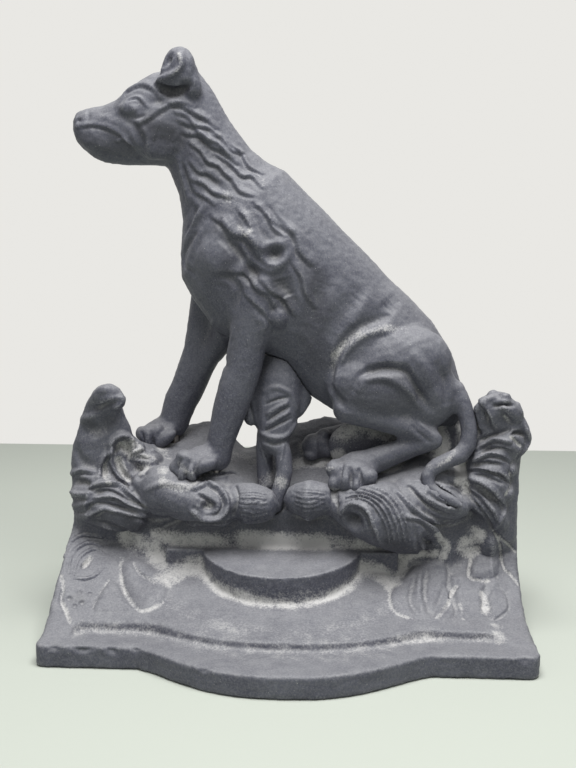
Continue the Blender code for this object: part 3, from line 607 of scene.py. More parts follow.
def spaced(path: Path, step: float) -> list[Point]:
    """A smooth curve through a path's points, at even steps.

    Args:
        path: Points as x and z.
        step: Distance between points of the curve.

    Returns:
        Points of the curve.
    """
    if len(path) == 1:
        return list(path)
    corners = np.array(path, float)
    padded = np.vstack([2 * corners[0] - corners[1], corners, 2 * corners[-1] - corners[-2]])
    curve = []
    for k in range(len(corners) - 1):
        a, b, c, d = padded[k:k + 4]
        pieces = max(1, round(float(np.linalg.norm(c - b)) / max(step, FINEST_STEP)))
        for t in np.arange(pieces) / pieces:
            curve.append(0.5 * (2 * b + (c - a) * t + (2 * a - 5 * b + 4 * c - d) * t * t
                                + (3 * b - a - 3 * c + d) * t ** 3))
    curve.append(corners[-1])
    return [tuple(point) for point in curve]


def depth_inside(outline: np.ndarray, places: np.ndarray) -> np.ndarray:
    """How far places lie inside a closed outline.

    Args:
        outline: Corners, one row each.
        places: Places in the same plane, one row each.

    Returns:
        Distance to the outline, or 0 outside it.
    """
    inside = np.zeros(len(places), bool)
    depth = np.full(len(places), np.inf)
    for start, end in zip(outline, np.roll(outline, -1, axis=0)):
        along = end - start
        share = np.clip((places - start) @ along / (along @ along), 0.0, 1.0)
        depth = np.minimum(depth, np.linalg.norm(places - start - share[:, None] * along, axis=1))
        crosses = (start[1] > places[:, 1]) != (end[1] > places[:, 1])
        rise = np.where(end[1] == start[1], 1.0, end[1] - start[1])
        inside ^= crosses & (places[:, 0] < start[0] + (places[:, 1] - start[1]) / rise * along[0])
    return np.where(inside, depth, 0.0)


def section(profile: Profile, share: np.ndarray, lean: np.ndarray) -> np.ndarray:
    """Height of a stroke over the share of its half width.

    Args:
        profile: Cross-section.
        share: Distance from its middle, where its edge is 1.
        lean: Side of the path: 1 on its left and -1 on its right, seen along it.

    Returns:
        Heights up to 1. A lock of hair also sinks along both edges, and a fold along its right edge.
    """
    reach = np.minimum(share, 1.0)
    crest = (1.0 - reach ** 2) ** 2
    if profile is Profile.LOCK:
        return (1.0 - reach ** 2) * np.cos(LOCK_WAVES * math.pi * reach)
    if profile is Profile.FOLD:
        swing = (1.0 + FOLD_HOLLOW) / 2
        lip = 1.0 - swing + swing * np.cos(math.pi * np.minimum(reach / FOLD_LIP, 1.0))
        hollow = -FOLD_HOLLOW * ((1.0 - reach) / (1.0 - FOLD_LIP)) ** 2
        under = np.where(reach < FOLD_LIP, lip, hollow)
        return crest + (under - crest) * np.clip(0.5 - FOLD_TURN * lean, 0.0, 1.0)
    return crest


class Mark:
    """A socket whose value takes part in arithmetic."""

    def __init__(self, nodes: "Nodes", socket: bpy.types.NodeSocket) -> None:
        """Wrap an output socket of a node tree."""
        self.nodes = nodes
        self.socket = socket

    def _math(self, operation: str, *values: "Mark | Number") -> "Mark":
        """Add a Math node."""
        return self.nodes.add("ShaderNodeMath", {"operation": operation}, dict(enumerate(values)))

    def __add__(self, other: "Mark | Number") -> "Mark":
        """Sum."""
        return self._math("ADD", self, other)

    def __radd__(self, other: Number) -> "Mark":
        """Sum with a number in front."""
        return self._math("ADD", other, self)

    def __sub__(self, other: "Mark | Number") -> "Mark":
        """Difference."""
        return self._math("SUBTRACT", self, other)

    def __rsub__(self, other: Number) -> "Mark":
        """Difference from a number."""
        return self._math("SUBTRACT", other, self)

    def __mul__(self, other: "Mark | Number") -> "Mark":
        """Product."""
        return self._math("MULTIPLY", self, other)

    def __rmul__(self, other: Number) -> "Mark":
        """Product with a number in front."""
        return self._math("MULTIPLY", other, self)

    def clamped(self) -> "Mark":
        """The value held between 0 and 1."""
        return self.nodes.add("ShaderNodeClamp", {}, {"Value": self})

    def rise(self, low: float, high: float) -> "Mark":
        """A smooth step from 0 at one value to 1 at another.

        Args:
            low: Where it starts.
            high: Where it ends.

        Returns:
            The stepped value.
        """
        settings = {"interpolation_type": "SMOOTHSTEP"}
        return self.nodes.add(
            "ShaderNodeMapRange", settings, {"Value": self, "From Min": low, "From Max": high}
        )


class Nodes:
    """The node tree of a material or a world."""

    def __init__(self, owner: bpy.types.Material | bpy.types.World) -> None:
        """Start with the owner's own shader.

        Args:
            owner: The material or world.
        """
        owner.use_nodes = True
        self.owner = owner
        self.tree = owner.node_tree

    def add(self, kind: str, settings: dict, inputs: dict, output: str | int = 0) -> Mark:
        """Add a node.

        Args:
            kind: Node type.
            settings: Properties of the node, set first.
            inputs: Values or marks by socket name or number.
            output: Name or number of the output that is wanted.

        Returns:
            The output.
        """
        node = self.tree.nodes.new(kind)
        for key, value in settings.items():
            setattr(node, key, value)
        for key, value in inputs.items():
            self.feed(node.inputs[key], value)
        return Mark(self, node.outputs[output])

    def feed(self, socket: bpy.types.NodeSocket, value: "Mark | Number | tuple") -> None:
        """Link or set one input.

        Args:
            socket: The input.
            value: A mark to link, or a constant.
        """
        if isinstance(value, Mark):
            self.tree.links.new(value.socket, socket)
        elif isinstance(value, tuple) and socket.type == "RGBA":
            socket.default_value = (*value[:3], 1.0)
        else:
            socket.default_value = value

    def attribute(self, name: str) -> Mark:
        """A value that the mesh carries."""
        return self.add("ShaderNodeAttribute", {"attribute_name": name}, {}, "Fac")

    def place(self) -> Mark:
        """The point's place on the object."""
        return self.add("ShaderNodeTexCoord", {}, {}, "Object")

    def noise(self, place: Mark, scale: float, detail: float = 2.0, roughness: float = 0.5) -> Mark:
        """A soft random pattern.

        Args:
            place: Where it is read.
            scale: Patches per metre.
            detail: Octaves.
            roughness: Strength of the finer octaves.

        Returns:
            Values about 0.5.
        """
        values = {"Vector": place, "Scale": scale, "Detail": detail, "Roughness": roughness}
        return self.add("ShaderNodeTexNoise", {}, values, "Fac")

    def blend(self, share: "Mark | Number", under: "Mark | tuple", over: "Mark | tuple") -> Mark:
        """Mix two colours.

        Args:
            share: Share of the second colour.
            under: First colour.
            over: Second colour.

        Returns:
            The mixed colour.
        """
        node = self.tree.nodes.new("ShaderNodeMix")
        node.data_type = "RGBA"
        self.feed(node.inputs["Factor"], share)
        self.feed(node.inputs[6], under)
        self.feed(node.inputs[7], over)
        return Mark(self, node.outputs[2])

    def bump(self, height: Mark, strength: float, distance: float) -> Mark:
        """A normal that follows a height.

        Args:
            height: Height pattern.
            strength: Share of the effect.
            distance: Height of the pattern, in metres.

        Returns:
            The normal.
        """
        values = {"Strength": strength, "Distance": distance, "Height": height}
        return self.add("ShaderNodeBump", {}, values, "Normal")

    def end(
        self, shader: str = "Principled BSDF", **inputs: "Mark | Number | tuple"
    ) -> bpy.types.Material | bpy.types.World:
        """Feed the shader.

        Args:
            shader: Name of the shader's node.
            inputs: Values by socket name, with spaces as underscores.

        Returns:
            The owner.
        """
        for key, value in inputs.items():
            self.feed(self.tree.nodes[shader].inputs[key.replace("_", " ")], value)
        return self.owner


@dataclass(frozen=True)
class PaintedIron:
    """Matt dark paint over a cast skin, with dust and painted shade in its hollows, dust with painted top
    light on faces that look up, and rubbed high spots that also serve as painted highlights.
    """

    name: str
    paint: Colour = (0.058, 0.060, 0.082)
    faded: Colour = (0.086, 0.089, 0.112)
    # Colour of rubbed high spots, which also serve as painted highlights
    rubbed_and_highlit: Colour = (0.270, 0.270, 0.290)
    # Colour of the painted shade in hollows and along paths
    grime: Colour = (0.028, 0.028, 0.034)
    dust: Colour = (0.560, 0.550, 0.535)
    # Pale colour of dust, also used for the painted top light on faces that look up
    top_light_and_dust_colour: Colour = (0.290, 0.290, 0.300)
    hollow_dust: float = 0.28
    # Share of the pale film of dust and painted top light on faces that look up
    top_light_and_dust: float = 0.55
    speckle: float = 0.16
    skin_bump: float = 0.45
    # Share of painted shade in deep hollows
    hollow_shade: float = 0.60
    # Share of rubbed high spots and painted highlights on ridges and edges
    edge_wear_and_highlight: float = 0.50
    roughness: float = 0.47
    specular: float = 0.34

    def material(self) -> bpy.types.Material:
        """Build the finish.

        Returns:
            The material.
        """
        nodes = Nodes(bpy.data.materials.new(self.name))
        place = nodes.place()
        fine = nodes.attribute("fine_relief")
        broad = nodes.attribute("broad_relief")
        laid = nodes.attribute("laid_dust")
        shade_along_paths = nodes.attribute("laid_shade")
        upward = nodes.attribute("upward")
        patches = nodes.noise(place, PATCHES, detail=4.0, roughness=0.6)
        streaks = nodes.noise(place, STREAKS, detail=3.0, roughness=0.6)
        grain = nodes.noise(place, GRAIN, detail=3.0, roughness=0.65)
        pits = nodes.noise(place, PITS, detail=2.0, roughness=0.5)
        specks = nodes.noise(place, SPECKS, detail=1.0, roughness=0.5)
        base = nodes.blend(patches.rise(*FADED_RAMP), self.paint, self.faded)
        base = nodes.blend(grain.rise(*FILM_RAMP) * self.speckle, base, self.top_light_and_dust_colour)
        # Painted shade: the paint turns dark in deep hollows of the relief, where shade falls
        depth = (fine * 0.6 + broad * 0.30).rise(*DEEP_RAMP)
        base = nodes.blend(depth * self.hollow_shade, base, self.grime)
        # Painted shade laid along given paths: in hollows, pits and under overhangs
        base = nodes.blend((shade_along_paths * (streaks * 0.8 + 0.25)).clamped(), base, self.grime)
        # Rubbed high spots: wear on ridges and edges, which also serves as painted highlights there
        worn_and_highlit = (fine * -1.0).rise(*EDGE_RAMP) * grain.rise(*WORN_GRAIN_RAMP)
        worn_and_highlit = worn_and_highlit * streaks.rise(*WORN_STREAK_RAMP)
        base = nodes.blend(worn_and_highlit * self.edge_wear_and_highlight, base, self.rubbed_and_highlit)
        # Pale dust film on faces that look up, which also paints the top light on them
        top_light_and_dust_film = upward.rise(*LEVEL_RAMP) * (streaks * 0.9 + grain * 1.1 - 0.15) * self.top_light_and_dust
        base = nodes.blend(top_light_and_dust_film.clamped(), base, self.top_light_and_dust_colour)
        hollow = (fine * 1.1 + broad * 0.5).rise(*HOLLOW_RAMP) * upward.rise(*OPEN_RAMP)
        settled = hollow * (grain * 1.9 + streaks * 0.8 - 0.75) * self.hollow_dust
        mottle = (grain - 0.5) * 1.5 + (streaks - 0.5) * 1.3 + (patches - 0.5) * 1.1
        packed = (laid * 0.9 + mottle).rise(*PACKED_RAMP) * laid.rise(*LAID_RAMP)
        cover = (settled.clamped() + packed).clamped()
        base = nodes.blend(cover * DUST_COVER, base, self.dust)
        chips = specks.rise(*CHIP_RAMP)
        base = nodes.blend(chips * CHIP_COVER, base, self.dust)
        rough = self.roughness + patches * PATCH_ROUGHNESS + cover * DUST_ROUGHNESS
        skin = grain * 0.55 + pits * 0.8
        return nodes.end(
            Base_Color=base,
            Roughness=rough.clamped(),
            Metallic=0.0,
            Specular_IOR_Level=self.specular,
            Normal=nodes.bump(skin, self.skin_bump, PAINT_DEPTH),
        )


@dataclass(frozen=True)
class DullSteel:
    """Darkened steel of a screw, bolt or washer, with rust in its corners."""

    name: str
    bright: Colour = (0.30, 0.29, 0.28)
    rust: Colour = (0.14, 0.075, 0.045)

    def material(self) -> bpy.types.Material:
        """Build the finish.

        Returns:
            The material.
        """
        nodes = Nodes(bpy.data.materials.new(self.name))
        place = nodes.place()
        patches = nodes.noise(place, RUST, detail=4.0, roughness=0.6)
        grain = nodes.noise(place, STEEL_GRAIN, detail=2.0, roughness=0.5)
        rusted = patches.rise(*RUST_RAMP)
        base = nodes.blend(rusted * RUST_COVER, self.bright, self.rust)
        return nodes.end(
            Base_Color=base,
            Roughness=(0.38 + rusted * 0.4).clamped(),
            Metallic=(0.95 - rusted * 0.75).clamped(),
            Normal=nodes.bump(grain, 0.4, STEEL_DEPTH),
        )


def carried(piece: bpy.types.Object, node: str, finish: PaintedIron) -> None:
    """Put a finished casting in the place of its CAD node.

    Args:
        piece: The casting.
        node: The CAD node that it stands for.
        finish: Its finish.
    """
    piece.data.materials.clear()
    piece.data.materials.append(finish.material())
    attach(piece, BODY)
    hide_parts(node)
    LOG.info("%s: %d faces", piece.name, len(piece.data.polygons))


# Head: nose, lips, muzzle, eye, brow, cheek and ear
HEAD: tuple[Stroke, ...] = (
    line(2.0, -1.2, (-129, 306)),
    line(1.8, -0.6, (-124, 313), (-123, 308), (-124, 303)),
    fold(3.6, 1.3, (-130, 302), (-121, 303), (-114, 302), (-107, 299.5), (-101, 296), (-97, 292)),
    line(4.5, 0.9, (-118, 307), (-110, 305.5), (-103, 301)),
    fold(2.4, 1.3, (-105, 293), (-100, 294), (-95, 290)),
    line(2.2, -0.8, (-117, 288), (-107, 285.5), (-99, 284)),
    line(4.6, -1.7, (-97, 304), (-91, 298), (-89, 291), (-91, 284)),
    fold(5.2, 1.3, (-103, 317), (-99, 323), (-89, 326), (-79, 321), (-76, 316)),
    line(3.6, 1.2, (-93.5, 311.5)),
    fold(2.4, 1.0, (-100, 312), (-97, 317), (-91, 318), (-86, 313)),
    line(2.0, -1.3, (-98, 308), (-93, 306.5), (-87, 307)),
    line(3.4, -1.0, (-105, 311), (-100, 307), (-94, 302)),
    fold(5.0, 1.5, (-90, 303), (-84, 306), (-77, 311), (-71, 314), (-65, 315), (-58, 313)),
    line(4.5, -1.8, (-83, 316), (-77, 316), (-71, 318)),
    line(10.0, -2.0, (-82, 296), (-76, 294), (-68, 292)),
    line(3.8, 0.9, (-90, 302), (-86, 295), (-85, 287), (-85, 281)),
    line(4.4, -4.6, (-79, 324), (-73, 321.5), (-66, 321.5), (-61, 324)),
    line(2.6, 1.1, (-70, 347), (-76, 343), (-77.5, 337), (-75, 332)),
    line(2.8, -2.2, (-71, 341), (-72.5, 336.5)),
    line(2.9, 2.3, (-65.5, 342), (-64, 337), (-66.5, 332.5), (-71, 330), (-78, 327.5)),
    line(3.0, 0.8, (-60, 342), (-59, 335), (-61, 328)),
)

# Neck: locks of hair from the ear to the breast
NECK: tuple[Stroke, ...] = (
    fold(4.4, 1.7, (-72, 315), (-65, 313), (-58, 309), (-52, 306), (-46, 301)),
    fold(3.6, 1.4, (-68, 309), (-62, 307), (-57, 302), (-49, 300), (-44, 296)),
    fold(4.2, 1.7, (-66, 304), (-58, 301), (-52, 295), (-44, 291), (-39, 285)),
    fold(4.2, 1.9, (-63, 297), (-54, 296), (-47, 290), (-41, 287), (-33, 280)),
    fold(4.0, 1.7, (-60, 291), (-54, 287), (-50, 281), (-43, 278), (-38, 272)),
    fold(3.6, 1.4, (-48, 297), (-42, 294), (-37, 288), (-31, 286)),
    fold(3.6, 1.4, (-37, 291), (-31, 286), (-26, 278), (-18, 274)),
    fold(4.0, 1.6, (-43, 284), (-37, 280), (-30, 273), (-24, 272), (-18, 266)),
    fold(4.2, 1.7, (-58, 270), (-52, 268), (-46, 263), (-37, 260)),
    fold(3.4, 1.2, (-57, 263), (-51, 260), (-46, 256)),
    fold(4.0, 1.5, (-42, 275), (-36, 271), (-31, 264), (-24, 261)),
    fold(3.8, 1.3, (-61, 281), (-55, 275), (-50, 274), (-44, 270)),
    line(3.6, 1.3, (-60, 260), (-55, 253), (-60, 244), (-65, 234)),
    line(2.8, 1.1, (-51, 257), (-54, 251), (-58, 245)),
    line(2.4, -1.4, (-56, 254), (-60, 246), (-64, 239)),
    line(2.6, 1.1, (-68, 283), (-66, 273), (-64, 265), (-62, 257)),
    line(1.9, -1.2, (-66, 280), (-63, 271), (-60, 262)),
    line(2.4, 0.9, (-63, 281), (-60, 272), (-57, 264)),
    line(9.0, -1.4, (-62, 303), (-53, 292), (-44, 282), (-34, 274)),
    line(6.0, -1.2, (-56, 276), (-48, 270), (-40, 264)),
)

# The shoulder's round muscle
SHOULDER_BALL = line(16.0, 3.2, (-46, 224))

# Shoulder and breast: the hollows between the locks, and the locks round them
SHOULDER: tuple[Stroke, ...] = (
    line(3.0, -1.7, (-58, 238), (-65, 229), (-66, 221), (-59, 215)),
    line(3.8, 1.3, (-51, 244), (-57, 234), (-60, 227), (-64, 219)),
    fold(7.0, 2.3, (-39, 246), (-33, 239), (-25, 236), (-19, 227), (-13, 222)),
    line(4.0, -1.9, (-40, 236), (-32, 230), (-25, 221), (-17, 215)),
    line(7.0, -4.0, (-10, 228)),
    line(5.4, 2.4, (-26, 248), (-23, 238), (-15, 231), (-6, 233), (-1, 240)),
    line(4.6, 2.0, (-17, 221), (-10, 219), (-4, 224), (0, 231)),
    line(8.0, -3.8, (-24, 216)),
    fold(6.0, 2.0, (-12, 248), (-5, 243), (2, 238), (5, 229), (11, 222)),
    line(3.4, -1.6, (-15, 254), (-8, 246), (-1, 238)),
    fold(4.4, 1.5, (-21, 256), (-15, 251), (-10, 242), (-4, 238)),
    line(8.0, -3.4, (-6, 214), (-4, 207), (-2, 201)),
    fold(5.0, 2.0, (-18, 213), (-11, 206), (-4, 201), (1, 193)),
    fold(4.5, 1.5, (1, 222), (6, 214), (8, 205), (13, 197)),
    fold(5.0, 1.9, (-34, 217), (-27, 216), (-20, 208), (-13, 204), (-10, 197)),
    line(3.8, -1.7, (-45, 214), (-36, 213), (-31, 206), (-34, 196)),
    fold(4.2, 1.4, (-26, 203), (-19, 197), (-13, 189)),
    line(5.0, -1.8, (-34, 234), (-31, 226), (-32, 216)),
    fold(4.4, 1.3, (-47, 249), (-40, 244), (-35, 235)),
    fold(4.0, 1.2, (-31, 253), (-26, 247), (-22, 240)),
)

# Flank and thigh: ribs under the skin, the thigh's edge and its muscles
FLANK: tuple[Stroke, ...] = (
    line(8.0, -1.6, (19, 212), (14, 198), (10, 186)),
    line(7.5, -1.7, (38, 204), (31, 193), (26, 181)),
    line(7.0, -1.8, (60, 199), (51, 191), (44, 187)),
    line(6.0, 1.1, (27, 208), (21, 196), (17, 186)),
    line(6.0, 1.1, (47, 203), (39, 193), (34, 186)),
    line(4.5, -2.4, (23, 147), (25, 161), (28, 170), (34, 180), (43, 186), (56, 190)),
    line(4.0, 1.6, (25, 150), (28, 162), (32, 170), (38, 176), (46, 181), (58, 183)),
    line(5.0, -2.6, (46, 159), (54, 161), (60, 161), (67, 160)),
    line(4.0, 1.8, (41, 149), (44, 154), (54, 156), (60, 154), (68, 149), (76, 138)),
    line(3.5, -1.6, (37, 148), (41, 157), (54, 162), (65, 160), (71, 153), (79, 139)),
    line(5.0, 1.6, (73, 169), (78, 162), (82, 152), (86, 143)),
    line(4.0, -2.2, (66, 162), (73, 152), (78, 143), (83, 136)),
    line(4.0, -1.8, (86, 163), (91, 152), (92, 141)),
    line(4.5, -1.6, (22, 150), (28, 142), (33, 137)),
)

# Near legs: elbow, tendons, hock and the creases between the toes
NEAR_LEGS: tuple[Stroke, ...] = (
    line(4.0, 1.4, (-17, 182), (-16, 187), (-20, 191)),
    line(3.0, 0.9, (-36, 183), (-38, 170), (-42, 154), (-48, 140)),
    line(1.6, 0.8, (-34, 183), (-36, 176), (-37, 169)),
    line(2.0, 1.2, (74, 129), (80, 124), (86, 119)),
    line(2.0, -1.2, (72, 126), (77, 121), (83, 116)),
    line(1.7, -2.0, (-66, 105), (-68, 101), (-68.5, 94)),
    line(1.7, -2.0, (-61, 104), (-62.5, 99), (-62.5, 91)),
    line(1.7, -1.8, (-55, 105), (-56.5, 101), (-55.5, 93)),
    line(1.7, -1.9, (31, 104), (29.5, 99), (29, 91)),
    line(1.7, -1.9, (35, 102), (36, 97), (35.5, 90)),
    line(1.7, -1.7, (40.5, 101), (41.5, 96), (42, 90)),
    line(2.4, 1.0, (-47, 188), (-55, 175), (-61, 162)),
)

# Far legs: the creases between the toes
FAR_LEGS: tuple[Stroke, ...] = (
    line(1.6, -1.7, (-97, 114), (-96, 110), (-95, 105)),
    line(1.6, -1.7, (-91, 115), (-90, 110), (-89, 105)),
    line(1.6, -1.6, (15, 111), (16, 106), (16, 100)),
)

# Extra clay of the near half: toes and paws, the ear and the elbow
NEAR_CLAY: tuple[Lump, ...] = (
    Lump((-70, 19.5, 99), (4.0, 5.0, 5.0)),
    Lump((-65.2, 15.5, 96.3), (4.0, 5.4, 6.0)),
    Lump((-59.6, 13.8, 98), (4.0, 5.4, 6.0), 15),
    Lump((-51.5, 14.0, 102), (8.2, 5.4, 4.4), 20),
    Lump((-63, 18.0, 106), (6.5, 6.0, 4.0), -15),
    Lump((25.3, 19.0, 99.3), (4.8, 5.4, 5.2)),
    Lump((26.2, 15.0, 92), (4.3, 5.2, 4.8)),
    Lump((32.4, 13.0, 94.2), (4.6, 5.6, 6.6)),
    Lump((39.3, 12.0, 91.2), (4.8, 5.6, 5.2)),
    Lump((45.5, 12.5, 96.5), (6.4, 5.6, 5.4), 20),
    Lump((-60.6, 36.0, 334.5), (4.0, 9.0, 9.0), 22),
    Lump((-61, 19, 101.5), (10.5, 8.0, 8.0)),
    Lump((36, 17, 97.5), (12.5, 7.5, 8.0), 10),
    Lump((-21, 27, 199), (15, 11.5, 15), -32),
    Lump((-7.5, 25, 190.5), (7, 9.5, 8)),
)

# Extra clay of the far half: toes and paws
FAR_CLAY: tuple[Lump, ...] = (
    Lump((-98.5, 59.0, 112), (4.0, 5.0, 4.6)),
    Lump((-93, 55.0, 109.2), (4.3, 5.4, 5.2)),
    Lump((-87.3, 56.0, 114), (4.2, 5.0, 4.6)),
    Lump((-82.5, 54.0, 109.6), (8.6, 5.0, 4.2), 38),
    Lump((11, 57.5, 108.6), (5.4, 5.4, 4.8)),
    Lump((20.8, 55.5, 103), (4.5, 5.0, 4.6)),
    Lump((10.5, 55.0, 100.4), (5.2, 5.0, 3.9)),
    Lump((18, 58.5, 112.6), (4.4, 4.8, 4.2)),
    Lump((-92, 57.5, 111.5), (9.5, 7.5, 6.5)),
    Lump((14.5, 58.5, 105.5), (10.5, 8.0, 8.0)),
)

# The far ear, drawn towards the near one
FAR_TUGS: tuple[Tug, ...] = (
    Tug((-56, 62, 337), 17.0, (-7.0, -3.0, -2.5)),
)

# Painted shade, dust and a painted highlight on the hound
HOUND_DUST_AND_SHADE: tuple[DustAndShade, ...] = (
    dust_and_shade(12.0, -0.85, (-84, 301), (-76, 297), (-68, 296)),
    dust_and_shade(5.0, -0.9, (-78, 325), (-70, 322), (-62, 323)),
    dust_and_shade(8.0, -0.5, (-122, 296), (-110, 291), (-99, 290)),
    dust_and_shade(9.0, -0.5, (-62, 292), (-52, 284), (-44, 276)),
    dust_and_shade(8.0, -0.85, (-10, 228)),
    dust_and_shade(8.0, -0.8, (-24, 214)),
    dust_and_shade(8.0, -0.85, (-8, 208), (-2, 199)),
    dust_and_shade(7.0, -0.45, (-42, 242), (-36, 228), (-38, 212)),
    dust_and_shade(11.0, -0.6, (12, 216), (16, 198), (12, 180), (16, 166)),
    dust_and_shade(10.0, -0.5, (33, 146), (50, 142), (72, 142)),
    dust_and_shade(7.0, -0.6, (50, 156), (64, 154)),
    dust_and_shade(7.0, -0.35, (-36, 172), (-44, 150), (-50, 126)),
    # Pale dust in the thigh's crease, which also paints the highlight along the thigh's top edge
    dust_and_shade(4.5, 0.55, (24, 162), (26, 169), (35, 177), (44, 182), (55, 184), (66, 183)),
    dust_and_shade(2.2, 0.8, (-65.5, 342), (-64, 337), (-66.5, 332.5)),
    dust_and_shade(7.0, 0.35, (-40, 262), (-33, 255), (-26, 251)),
    dust_and_shade(3.0, 0.55, (-30, 243), (-27, 239), (-24, 241)),
    dust_and_shade(4.0, 0.45, (-20, 272), (-14, 266)),
    dust_and_shade(3.0, 0.4, (-67, 103), (-62, 99), (-55, 98)),
    dust_and_shade(2.6, 0.8, (-72, 93), (-64, 90), (-56, 91), (-48, 96)),
    dust_and_shade(2.4, 0.8, (24, 89), (32, 88), (41, 87), (48, 91)),
    dust_and_shade(2.0, 0.35, (29, 100), (36, 97), (41, 98)),
    dust_and_shade(2.4, 0.7, (-98, 108), (-90, 105), (-82, 106)),
    dust_and_shade(2.4, 0.7, (10, 97), (18, 99), (24, 101)),
    dust_and_shade(2.4, 0.6, (96, 120), (96, 110), (88, 104), (78, 102)),
)


@dataclass
class HoundHalf:
    """One half of the hollow hound, from the seam outwards, in millimetres but for its voxel, in metres."""

    nodes: dict[str, bpy.types.Object]
    side: Side
    seam_y: float = 48.0
    seam_gap: float = 0.3
    seam_fade: float = 1.5
    seam_grip: float = 0.5
    paws_below: float = 118.0
    paw_fade: float = 6.0
    voxel: float = 0.0009

    def build(self) -> bpy.types.Object:
        """Model this half.

        Returns:
            The piece.
        """
        near = self.side is Side.NEAR
        node = "hound_near_shell" if near else "hound_far_shell"
        lumps = NEAR_CLAY if near else FAR_CLAY
        clay = Clay(node.replace("shell", "casting"), self.nodes[node].data.copy(), self.voxel, lumps)
        face = self.seam_y + self.side.value * self.seam_gap / 2
        away = np.abs(clay.points[:, 1] - face)
        seam = np.clip(away / self.seam_fade, 0.0, 1.0)
        paws = np.clip((self.paws_below - clay.points[:, 2]) / self.paw_fade, 0.0, 1.0)
        clay.soften(14, seam)
        clay.soften(4, seam * paws, melt=True)
        if not near:
            clay.tug(FAR_TUGS)
        clay.carve((*FLANK, SHOULDER_BALL), (self.side,))
        clay.carve(HEAD + NECK + SHOULDER, (self.side,))
        clay.carve(NEAR_LEGS if near else FAR_LEGS, (Side.NEAR,))
        clay.roughen(height=0.20, size=3.0)
        clay.soften(1, seam)
        clay.soften(2, seam * paws)
        clay.dust(HOUND_DUST_AND_SHADE, (self.side,))
        depth = clay.points[:, 1]
        depth[away < self.seam_grip] = face
        clay.points[:, 1] = np.minimum(depth, face) if near else np.maximum(depth, face)
        piece = clay.finish()
        carried(piece, node, PaintedIron(node.replace("shell", "paint")))
        return piece


# Left end leaf: its tip, curls and ribs
LEFT_LEAF: tuple[Stroke, ...] = (
    line(4.0, 1.6, (-122, 138), (-115, 146), (-106, 146), (-101, 141)),
    line(3.5, -3.6, (-119, 134), (-112, 136), (-105, 139)),
    line(3.5, 1.4, (-130, 126), (-124, 128), (-119, 130)),
    line(7.0, -2.6, (-126, 118), (-118, 121), (-112, 126)),
    line(3.0, 1.4, (-133, 122), (-138, 112), (-141, 104), (-142, 95), (-137, 90)),
    line(5.0, -1.6, (-134, 108), (-130, 101), (-124, 98)),
    fold(3.5, 2.5, (-137, 91), (-129, 94.5), (-121, 94)),
    line(3.0, -3.6, (-134, 87), (-129, 88.5), (-124, 88)),
    line(2.0, 1.6, (-138, 81), (-130, 81.5), (-122, 83)),
    line(1.8, -2.2, (-139, 77), (-131, 77.5), (-124, 79)),
    line(2.2, 1.6, (-140, 71), (-131, 74), (-123, 77)),
    line(1.8, -1.8, (-138, 67), (-131, 69), (-126, 71)),
    fold(3.3, 2.8, (-117, 92), (-117, 98), (-114, 104), (-110, 107)),
    fold(3.8, 4.0, (-110, 105), (-110, 112), (-105, 116.5), (-101, 114), (-99, 107), (-100, 101)),
    line(2.8, -4.2, (-108, 107), (-105, 111), (-102, 107)),
    fold(2.9, 2.5, (-112, 106), (-111, 98), (-106, 90.5), (-97, 84.5)),
    line(2.4, -2.4, (-115, 98), (-114, 92.5), (-110, 90)),
    line(2.8, -2.6, (-107, 102), (-106, 96), (-101, 89)),
    fold(2.9, 2.5, (-98, 104), (-92, 107), (-86, 104.5)),
    line(1.8, -3.2, (-96, 102), (-92, 103), (-88, 102.5)),
    line(3.0, -1.8, (-96, 97), (-92, 93), (-88, 95)),
    fold(3.2, 3.0, (-122, 86), (-115, 88.5), (-106, 87.5), (-98, 82.5), (-88, 77)),
    line(1.7, -2.8, (-118, 83.5), (-110, 85), (-103, 82), (-92, 76)),
    fold(2.9, 2.8, (-118, 80), (-107, 81.5), (-98, 77), (-89, 73.5)),
    line(1.7, -2.8, (-125, 71), (-122, 75.5), (-113, 77.8), (-103, 74.8), (-91, 70.5)),
    fold(3.2, 2.8, (-122, 69), (-113, 74), (-105, 72.8), (-98, 70.8), (-89, 68.8)),
    line(1.7, 1.6, (-125, 69), (-124.5, 77), (-122, 86)),
    line(3.0, -2.0, (-125, 65), (-115, 65), (-106, 62), (-98, 57)),
)

